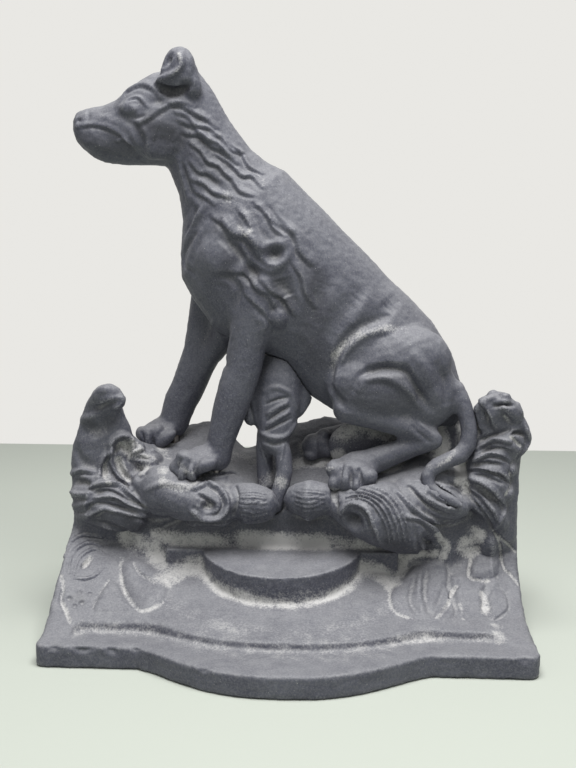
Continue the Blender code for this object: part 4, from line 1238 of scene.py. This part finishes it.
# Scroll band: the left horn, two ribbed buds, the volute and the oval leaf
SCROLL_BAND: tuple[Stroke, ...] = (
    line(3.0, 1.4, (-87, 87), (-78, 91), (-68, 91), (-58, 90)),
    line(2.4, -1.2, (-94, 79), (-84, 74), (-74, 72), (-64, 74)),
    line(2.4, -1.0, (-96, 72), (-86, 66), (-76, 66), (-66, 69)),
    fold(4.3, 3.2, (-56, 89), (-49, 91), (-41, 87), (-37.5, 80), (-42, 73.5), (-50, 72.5), (-56, 77)),
    line(6.0, -5.4, (-48, 79.5)),
    line(1.8, -3.0, (-54, 86.5), (-49, 84), (-45, 81)),
    line(1.6, -1.8, (-58, 94), (-45, 94), (-34, 90), (-31, 83), (-34, 73)),
    line(2.6, -2.6, (-81, 60), (-66, 66.5), (-52, 69.5), (-38, 69), (-30, 70)),
    *ribs(((-31, 87), (-23, 88), (-14, 86)), ((-29, 72), (-21, 70.5), (-13, 72)), 7, 1.25, 1.1),
    line(2.4, -2.0, (-30, 68), (-21, 66), (-12, 68)),
    *ribs(((2, 88), (11, 89), (21, 87)), ((4, 73), (11, 72), (19, 73)), 7, 1.25, 1.1),
    line(2.4, -2.0, (2, 70), (11, 68), (20, 70)),
    line(3.0, -2.2, (-11, 92), (-6, 84), (-4, 74)),
    line(3.0, -2.6, (25, 90), (27, 82), (28, 72)),
    line(8.5, -8.5, (37, 73)),
    fold(4.1, 3.0, (30, 76), (36, 82.5), (44, 81.5), (48.5, 74), (53, 60)),
    *ribs(
        ((33, 84), (42, 87), (50, 83), (56, 73), (59, 60)),
        ((33, 92), (46, 93), (59, 88), (67, 76), (71, 60)), 5, 1.55, 2.0
    ),
    line(7.0, -7.5, (80, 61), (86, 54), (80, 48)),
    fold(3.3, 2.8, (69, 76), (77, 73), (85, 65), (92, 54)),
    line(2.4, -1.8, (73, 71), (76, 58), (80, 46)),
    fold(3.3, 3.0, (62, 90), (67, 85), (75, 77), (85, 70), (95, 66.5), (104, 68)),
    line(2.2, 1.6, (73, 94), (82, 93), (92, 90), (99, 86), (104, 80), (105, 72)),
    line(1.8, -2.2, (70, 91), (78, 83.5), (86, 77.5), (97, 73)),
    line(1.8, 1.2, (75, 89.5), (83, 84), (92, 80), (100, 77.5)),
    line(1.6, -1.8, (82, 88), (88, 83.5), (97, 79.5)),
    line(2.0, -1.6, (95, 91), (100, 87), (103, 82)),
)

# Right end leaf: its knob, pits and ribs, and the lines that run down from it
RIGHT_LEAF: tuple[Stroke, ...] = (
    line(3.4, 1.4, (109, 135), (115, 142), (124, 145), (132, 142), (138, 132)),
    fold(4.3, 2.5, (138, 126), (141, 116), (136, 107)),
    line(2.0, -3.6, (120, 138.5), (125, 140), (130, 139)),
    line(3.0, -2.4, (124, 135), (127, 131), (130, 128)),
    line(1.9, -3.4, (131, 122), (135, 122), (139, 120)),
    line(2.6, -2.2, (130, 120), (133, 117), (136, 114)),
    fold(4.9, 2.5, (112, 141), (117, 134), (120, 126)),
    line(3.6, -2.6, (107, 131), (110, 126), (112, 119)),
    line(2.2, -2.2, (115, 135), (117, 130)),
    line(2.0, -2.8, (112, 116), (121, 120.5), (129, 124)),
    fold(3.2, 2.8, (111, 111), (116, 114.5), (121, 117.5), (130, 117)),
    line(1.7, -2.2, (111, 108), (117, 111.5), (124, 113), (130, 111)),
    fold(3.2, 2.8, (109, 104), (113, 107), (119, 109), (125, 108.5), (130, 105)),
    line(1.7, -2.6, (110, 102), (117, 104), (125, 103)),
    fold(3.2, 2.8, (108, 99), (116, 100.5), (125, 98), (130, 93)),
    line(1.7, -2.6, (109, 96.5), (116, 96.5), (125, 92.5)),
    fold(3.2, 2.8, (107, 93.5), (114, 92), (121, 87.5), (126, 81)),
    line(1.7, -2.6, (108, 90.5), (115, 87.5), (123, 81)),
    fold(3.2, 2.8, (106, 88), (113, 83), (120, 75), (123, 69)),
    line(1.9, -2.8, (106, 84.5), (111, 78), (117, 70), (121, 62)),
    line(2.0, 1.8, (122, 86), (126, 82), (128, 75), (125, 68), (121, 61)),
    line(2.0, -1.8, (132, 104), (130, 98), (132, 91), (129, 84)),
    line(3.0, 1.2, (135, 98), (136, 86), (135, 74)),
    line(1.6, -1.6, (121, 62), (126, 53), (129, 38), (133, 34), (137, 29)),
    line(1.6, -1.6, (121, 62), (129, 54), (137, 45)),
)

# Flat leaves on the apron
FRIEZES: tuple[Facet, ...] = (
    facet(
        2.8, 5.0, (-104, 40), (-101, 34), (-97, 29), (-89, 24), (-81, 23), (-73, 26), (-71, 30), (-76, 34),
        (-86, 39), (-96, 42)
    ),
    facet(
        2.2, 3.5, (-108, 34), (-111, 29), (-113, 24), (-110, 22), (-96, 22), (-90, 23), (-96, 27),
        (-102, 32)
    ),
    facet(
        2.4, 4.0, (68, 35), (62, 32), (59, 28), (62, 24), (72, 22), (84, 22), (90, 27), (95, 34), (92, 42),
        (82, 43), (74, 40)
    ),
    facet(1.8, 2.5, (88, 26), (84, 21.5), (96, 21.5), (95, 27), (92, 31)),
    facet(
        2.4, 4.0, (97, 28), (99, 22), (112, 21.5), (114, 26), (118, 33), (110, 32), (103, 36), (95, 34)
    ),
    facet(2.2, 4.0, (119, 60), (113, 46), (108, 38), (110, 34), (119, 33), (126, 36), (124, 52)),
    facet(1.8, 2.5, (117, 26), (118, 20.5), (128, 21), (128, 27), (122, 29)),
)

# Lines and pits on the apron, and nicks in the plate's edge
FRIEZE_LINES: tuple[Stroke, ...] = (
    lock(2.2, 1.5, (-138, 44), (-136, 51), (-128, 54), (-117, 53)),
    lock(2.1, 1.7, (-132, 38), (-133, 44), (-131, 48), (-125, 50), (-117, 48)),
    lock(1.9, 1.5, (-129, 36), (-129, 41), (-127, 45), (-121, 47), (-115, 45)),
    lock(2.0, 1.4, (-113, 39), (-117, 36), (-122, 35), (-128, 36)),
    line(2.8, -3.0, (-125, 40), (-122, 43)),
    line(1.6, -1.3, (-96, 41), (-90, 37), (-79, 33)),
    line(2.4, -1.4, (-128, 28)),
    line(2.2, -1.2, (-123, 30)),
    line(2.6, -1.5, (-120, 26)),
    line(2.0, -1.0, (-124, 25)),
    line(2.0, -1.0, (-117, 29)),
    line(1.8, -1.2, (-136, 37), (-133, 32), (-132, 27), (-127, 22), (-124, 19)),
    line(2.8, -1.6, (74, 36), (71, 29), (74, 24)),
    line(2.8, -1.6, (82, 38), (80, 30), (82, 24)),
    line(2.4, 1.2, (78, 38), (76, 30), (78, 24)),
    line(1.9, -1.5, (87, 22), (90, 24), (94, 26), (99, 31), (102, 34)),
    line(1.8, -1.3, (109, 42), (107, 35), (110, 33), (119, 32)),
    line(1.8, -1.2, (113, 23), (115, 21), (120, 20), (129, 22)),
    line(2.6, 1.2, (121, 61), (122, 50), (121, 38), (123, 30)),
    line(3.0, -1.3, (-131, 12), (-125, 11.5)),
    line(2.6, -1.4, (-117, 12.5), (-112, 11), (-106, 12)),
    line(3.2, -1.5, (-98, 12), (-93, 11)),
    line(2.4, -1.0, (-84, 12.5), (-80, 11.5)),
    line(2.0, -0.8, (-42, 12), (-38, 12)),
    line(3.0, -1.0, (128, 12), (133, 11)),
)

# Extra clay of the mound, the band and the end leaves
GROUND: tuple[Lump, ...] = (
    Lump((47, 52, 107), (26, 9, 17.5)),
    Lump((91, 48, 109), (13, 12, 22)),
    Lump((-77, 22, 84), (17, 14, 16)),
    Lump((-47, 15, 80), (12, 10, 12)),
    Lump((50, 8, 78), (17, 13, 15), -20),
    Lump((123, 36, 131), (13, 13, 13.5)),
    Lump((114, 34, 101), (9, 10, 13)),
    Lump((99, 49, 117), (8, 9, 15)),
    Lump((106, 44, 106), (8, 9, 19)),
    Lump((-90, 40, 97), (9, 9, 9)),
)

# Ends of the leaves, drawn out to the photographed outline
PULLS: tuple[Tug, ...] = (
    Tug((135, 36, 122), 18.0, (5.0, 0.0, 0.0)),
    Tug((124, 36, 144), 12.0, (0.0, 0.0, 0.4)),
    Tug((-121, 36, 145), 14.0, (1.5, 0.0, 0.0)),
)

# Painted shade, dust and a painted highlight on the plinth
PLINTH_DUST_AND_SHADE: tuple[DustAndShade, ...] = (
    dust_and_shade(7.0, -0.8, (-118, 66), (-104, 62), (-90, 62)),
    dust_and_shade(7.0, -0.7, (-97, 67), (-80, 60), (-62, 65), (-46, 68)),
    dust_and_shade(6.0, -0.6, (-26, 66), (-8, 64), (14, 66)),
    dust_and_shade(7.0, -1.0, (37, 74)),
    dust_and_shade(8.0, -0.8, (58, 60), (72, 54), (84, 50)),
    dust_and_shade(6.0, -0.7, (-125, 124), (-117, 119), (-112, 125)),
    dust_and_shade(4.0, -0.5, (-107, 100), (-103, 94)),
    dust_and_shade(6.0, -0.5, (112, 70), (118, 62)),
    dust_and_shade(3.2, -0.9, (121, 138), (128, 139.5)),
    dust_and_shade(4.0, -0.7, (117, 128), (121, 124)),
    dust_and_shade(3.5, -0.9, (131, 122), (137, 120)),
    dust_and_shade(6.1, 0.95, (-54, 38), (-41, 32.5), (-26, 30.5), (-6, 28), (10, 28.5), (30, 31.5), (41, 36)),
    dust_and_shade(10.1, 1.1, (-74, 34), (-66, 37), (-56, 38)),
    dust_and_shade(8.1, 1.15, (43, 40), (53, 37), (61, 33)),
    dust_and_shade(6.8, 1.1, (-80, 55), (-60, 53), (-40, 53)),
    dust_and_shade(8.1, 1.25, (-30, 54), (-6, 53), (20, 53)),
    dust_and_shade(6.1, 1.1, (-83, 56), (-83, 46), (-79, 39)),
    dust_and_shade(8.8, 1.05, (-102, 53), (-94, 51), (-87, 48), (-83, 42)),
    dust_and_shade(8.0, 0.40, (-118, 15), (-100, 14.5), (-82, 14.5), (-60, 14.5)),
    dust_and_shade(5.4, 0.45, (59, 15.5), (80, 15.5), (100, 15), (112, 15)),
    dust_and_shade(16.0, 0.34, (-50, 14), (-20, 14), (20, 14), (50, 14)),
    dust_and_shade(7.0, 0.36, (60, 14.5), (80, 14.5), (112, 14.5)),
    dust_and_shade(9.0, 0.30, (-75, 26), (-45, 22), (0, 20), (40, 22), (62, 26)),
    dust_and_shade(7.0, 0.38, (-52, 38), (-40, 35), (-20, 33), (0, 32), (25, 35), (40, 39)),
    dust_and_shade(5.5, 0.95, (18, 54), (34, 53), (48, 52)),
    dust_and_shade(2.2, 0.75, (-104, 42), (-101, 34), (-97, 29), (-89, 24), (-81, 23), (-73, 26)),
    dust_and_shade(1.5, 0.65, (-96, 41), (-90, 37), (-79, 33)),
    dust_and_shade(1.6, 0.6, (-108, 34), (-111, 29), (-113, 24)),
    dust_and_shade(2.8, 0.95, (-125, 40), (-122, 43)),
    dust_and_shade(2.0, 0.7, (-136, 37), (-133, 32), (-132, 27), (-127, 22), (-124, 19)),
    dust_and_shade(6.0, -0.6, (-123, 28)),
    dust_and_shade(1.9, 0.8, (68, 36), (62, 32), (59, 28), (62, 24), (72, 22)),
    dust_and_shade(1.9, 0.9, (86, 22), (90, 24), (94, 26), (99, 31)),
    dust_and_shade(2.0, 0.85, (100, 25), (101, 21)),
    dust_and_shade(1.7, 0.7, (109, 42), (107, 35), (110, 33), (119, 32)),
    dust_and_shade(2.6, 0.75, (114, 28), (114, 23), (118, 20)),
    dust_and_shade(4.5, 0.75, (-84, 104), (-80, 101), (-77, 98)),
    dust_and_shade(5.0, 0.8, (20, 98), (25, 93)),
    # A painted highlight on the top of the right knob, laid as dust
    dust_and_shade(2.0, 0.6, (126, 133), (129, 129)),
    dust_and_shade(
        3.5, 0.35, (-115, 17), (-85, 17), (-60, 16), (-30, 16), (0, 16), (30, 16), (60, 16), (112, 17)
    ),
    dust_and_shade(5.4, 0.72, (119, 19), (120, 15)),
    dust_and_shade(4.1, 1.05, (66, 46), (68, 40), (64, 35), (59, 31)),
    dust_and_shade(4.7, 1.05, (70, 45), (78, 47), (86, 48)),
    dust_and_shade(4.6, 0.81, (114, 26), (115, 21)),
    dust_and_shade(5.4, 0.95, (102, 49), (108, 47), (113, 48)),
    dust_and_shade(6.1, 0.95, (114, 58), (110, 54), (104, 52)),
    dust_and_shade(1.4, 0.85, (121, 62), (126, 53), (129, 38), (133, 34), (137, 29)),
    dust_and_shade(1.4, 0.85, (121, 62), (129, 54), (137, 45)),
    dust_and_shade(3.5, 0.81, (-115, 98), (-114, 92.5), (-110, 90)),
    dust_and_shade(4.3, 1.0, (-107, 101), (-105, 95), (-101, 89)),
    dust_and_shade(4.1, 0.77, (-95, 98), (-91, 95), (-89, 97)),
    dust_and_shade(4.1, 0.9, (-97, 118), (-98, 112), (-94, 108)),
    dust_and_shade(6.0, 0.85, (-104, 109), (-96, 104), (-88, 102), (-80, 106), (-72, 110)),
    dust_and_shade(5.0, 0.75, (-76, 93), (-68, 90), (-58, 91), (-47, 96), (-38, 98)),
    dust_and_shade(6.0, 0.7, (-44, 100), (-34, 97), (-26, 94)),
    dust_and_shade(5.4, 0.63, (-48, 79.5)),
    dust_and_shade(10.8, 0.8, (28, 117), (45, 121), (62, 116)),
    dust_and_shade(6.1, 1.2, (5, 104), (11, 98), (20, 97), (28, 102)),
    dust_and_shade(6.1, 1.2, (-10, 94), (-2, 94), (6, 95), (16, 95)),
    dust_and_shade(6.1, 1.25, (56, 97), (64, 99), (70, 104)),
    dust_and_shade(6.8, 1.25, (80, 115), (87, 121), (91, 112), (88, 107)),
    dust_and_shade(5.4, 1.25, (103, 124), (105, 112), (104, 100), (101, 92)),
    dust_and_shade(4.9, 1.15, (99, 101), (103, 94), (106, 86)),
    dust_and_shade(1.7, 0.95, (130, 120), (133, 117), (136, 114)),
    dust_and_shade(4.1, 0.63, (107, 131), (109, 126), (110, 119)),
    dust_and_shade(1.7, 0.8, (130, 98), (131, 91), (128, 85)),
    dust_and_shade(5.4, 1.0, (112, 60), (114, 55)),
    dust_and_shade(4.1, 1.0, (88, 62), (94, 52), (92, 46)),
)


@dataclass
class PlinthCasting:
    """The hollow plinth casting, with its mound, scroll band, end leaves and friezes.

    The heights at which the smoothing starts, fades and ends are in millimetres, and the voxel in metres.
    """

    nodes: dict[str, bpy.types.Object]
    voxel: float = 0.00088
    crisp_height: float = 52.0
    mound_fade: float = 4.0
    riser_foot: float = 12.7
    riser_top: float = 25.0
    riser_fade: float = 3.0

    def build(self) -> bpy.types.Object:
        """Model the plinth.

        Returns:
            The piece.
        """
        mesh = self.nodes["base_casting"].data.copy()
        clay = Clay("plinth_casting", mesh, self.voxel, GROUND)
        heights = clay.points[:, 2]
        mound = np.clip((heights - self.crisp_height) / self.mound_fade, 0.0, 1.0)
        above_plate = np.clip(heights - self.riser_foot, 0.0, 1.0)
        riser = above_plate * np.clip((self.riser_top - heights) / self.riser_fade, 0.0, 1.0)
        clay.soften(3)
        clay.soften(12, mound)
        clay.soften(22, riser, melt=True)
        clay.tug(PULLS)
        clay.raise_facets(FRIEZES)
        clay.carve(LEFT_LEAF + SCROLL_BAND + RIGHT_LEAF)
        clay.carve(FRIEZE_LINES)
        clay.roughen(height=0.26, size=2.6)
        clay.roughen(height=0.40, size=9.0)
        clay.soften(1)
        clay.dust(PLINTH_DUST_AND_SHADE)
        piece = clay.finish()
        # Dust, painted shade, painted top light and rubbed high spots that serve as painted highlights, in
        # the plinth's amounts
        finish = PaintedIron(
            "plinth_paint", hollow_dust=0.50, top_light_and_dust=0.62, speckle=0.20, hollow_shade=0.28, edge_wear_and_highlight=0.95
        )
        carried(piece, "base_casting", finish)
        return piece


# Ribs of the sprig, its rim and the stems under it
SPRIG_VEINS: tuple[Stroke, ...] = (
    line(2.6, 1.2, (-17, 144), (-10, 147), (-1, 143), (3, 133)),
    line(1.5, -1.8, (-16, 137), (-9, 140), (-3, 141)),
    line(2.0, 1.6, (-15, 131), (-9, 135), (-3, 138)),
    line(1.5, -1.8, (-15, 127), (-8, 132), (-2, 135)),
    line(2.0, 1.6, (-15, 124), (-8, 129), (-2, 132)),
    line(1.5, -1.8, (-16, 121), (-8, 125), (-1, 128)),
    line(2.4, 1.8, (-19, 119), (-11, 117), (-4, 118), (2, 124)),
    line(1.8, -1.8, (-17, 114), (-11, 113), (-5, 114)),
    line(1.6, 0.9, (-5, 116), (-6, 106), (-9, 94)),
    line(1.6, 0.9, (-21, 114), (-17, 103), (-14, 94)),
    line(2.0, -1.2, (-28, 140), (-25, 128), (-24, 118)),
)


@dataclass
class BellySprig:
    """The leaf sprig that props the belly."""

    nodes: dict[str, bpy.types.Object]
    voxel: float = 0.0007

    def build(self) -> bpy.types.Object:
        """Model the sprig.

        Returns:
            The piece.
        """
        clay = Clay("sprig_casting", self.nodes["belly_sprig"].data.copy(), self.voxel)
        clay.soften(8)
        clay.carve(SPRIG_VEINS, (Side.NEAR, Side.FAR))
        clay.roughen(height=0.18, size=3.5)
        clay.soften(1)
        clay.dust([dust_and_shade(7.0, 0.5, (-18, 86), (-12, 92), (-6, 90))])
        piece = clay.finish()
        carried(piece, "belly_sprig", PaintedIron("sprig_paint", hollow_dust=0.4))
        return piece


@dataclass
class Fixings:
    """The screws, bolts and washers, which keep their CAD shapes."""

    nodes: dict[str, bpy.types.Object]

    def dress(self) -> None:
        """Give every fixing its steel."""
        for name, thing in self.nodes.items():
            if "screw" in name or "bolt" in name or "washer" in name:
                thing.data.materials.clear()
                thing.data.materials.append(DullSteel(name + "_steel").material())
                LOG.info("%s dressed", name)


@dataclass
class Studio:
    """Camera, floor, backdrop and lamps."""

    camera_place: Place = (0.04017, -0.62503, 0.24633)
    camera_turn: float = 3.744
    camera_dip: float = 8.425
    focal_length: float = 51.56
    sensor: float = 36.0
    mat_end: float = 0.56
    mat_reach: float = 3.0
    floor_colour: Colour = (0.50, 0.53, 0.47)
    wall_colour: Colour = (0.815, 0.805, 0.775)
    room_colour: Colour = (0.93, 0.96, 1.0)
    room_strength: float = 0.19

    def build(self) -> None:
        """Set up everything that isn't part of the object."""
        self.camera()
        self.floor()
        self.lamp("top_lamp", (0.08, -0.28, 1.15), (0.0, 0.0, 0.1), size=0.8, power=20.0)
        self.lamp("front_lamp", (-0.7, -1.3, 0.9), (0.0, 0.0, 0.15), size=1.0, power=1.7)
        self.lamp("right_lamp", (1.2, -0.5, 0.7), (0.0, 0.0, 0.15), size=0.8, power=1.0)
        self.world()
        bpy.context.scene.view_settings.view_transform = "Standard"

    def camera(self) -> None:
        """Place the camera where the photograph was taken from."""
        data = bpy.data.cameras.new("camera")
        data.lens = self.focal_length
        data.sensor_width = self.sensor
        data.sensor_height = self.sensor
        data.clip_start = 0.01
        thing = bpy.data.objects.new("camera", data)
        thing.location = self.camera_place
        thing.rotation_euler = (math.radians(90.0 - self.camera_dip), 0.0, math.radians(self.camera_turn))
        bpy.context.scene.collection.objects.link(thing)
        bpy.context.scene.camera = thing

    def floor(self) -> None:
        """Add the mat, which ends where the pale wall of the photograph starts."""
        corners = ((-1, -self.mat_reach), (1, -self.mat_reach), (1, self.mat_end), (-1, self.mat_end))
        places = [Vector((across * self.mat_reach, y, 0)) for across, y in corners]
        mesh = bpy.data.meshes.new("floor")
        mesh.from_pydata(places, [], [(0, 1, 2, 3)])
        nodes = Nodes(bpy.data.materials.new("floor_cloth"))
        mesh.materials.append(nodes.end(Base_Color=self.floor_colour, Roughness=0.9))
        thing = bpy.data.objects.new("floor", mesh)
        bpy.context.scene.collection.objects.link(thing)

    def lamp(self, name: str, place: Place, aim: Place, size: float, power: float) -> None:
        """Add a soft square lamp.

        Args:
            name: Its name.
            place: Where it hangs.
            aim: Where it points.
            size: Length of its side, in metres.
            power: Watts.
        """
        data = bpy.data.lights.new(name, "AREA")
        data.size = size
        data.energy = power
        thing = bpy.data.objects.new(name, data)
        thing.location = place
        thing.rotation_euler = (Vector(aim) - Vector(place)).to_track_quat("-Z", "Y").to_euler()
        bpy.context.scene.collection.objects.link(thing)

    def world(self) -> None:
        """Light the room evenly, and show its pale wall to the camera and in reflections."""
        nodes = Nodes(bpy.data.worlds.new("room"))
        seen = nodes.add("ShaderNodeLightPath", {}, {}, "Is Camera Ray")
        for ray in ("Is Glossy Ray", "Is Transmission Ray"):
            seen = seen + nodes.add("ShaderNodeLightPath", {}, {}, ray)
        lit = tuple(part * self.room_strength for part in self.room_colour)
        colour = nodes.blend(seen.clamped(), lit, self.wall_colour)
        bpy.context.scene.world = nodes.end("Background", Color=colour)


def main() -> None:
    """Build the scene."""
    logging.basicConfig(level=logging.INFO, format="%(name)s: %(message)s")
    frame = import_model()
    nodes = frame["nodes"]
    Studio().build()
    PlinthCasting(nodes).build()
    HoundHalf(nodes, Side.NEAR).build()
    HoundHalf(nodes, Side.FAR).build()
    BellySprig(nodes).build()
    Fixings(nodes).dress()
    bpy.context.view_layer.update()


if __name__ == "__main__":
    main()
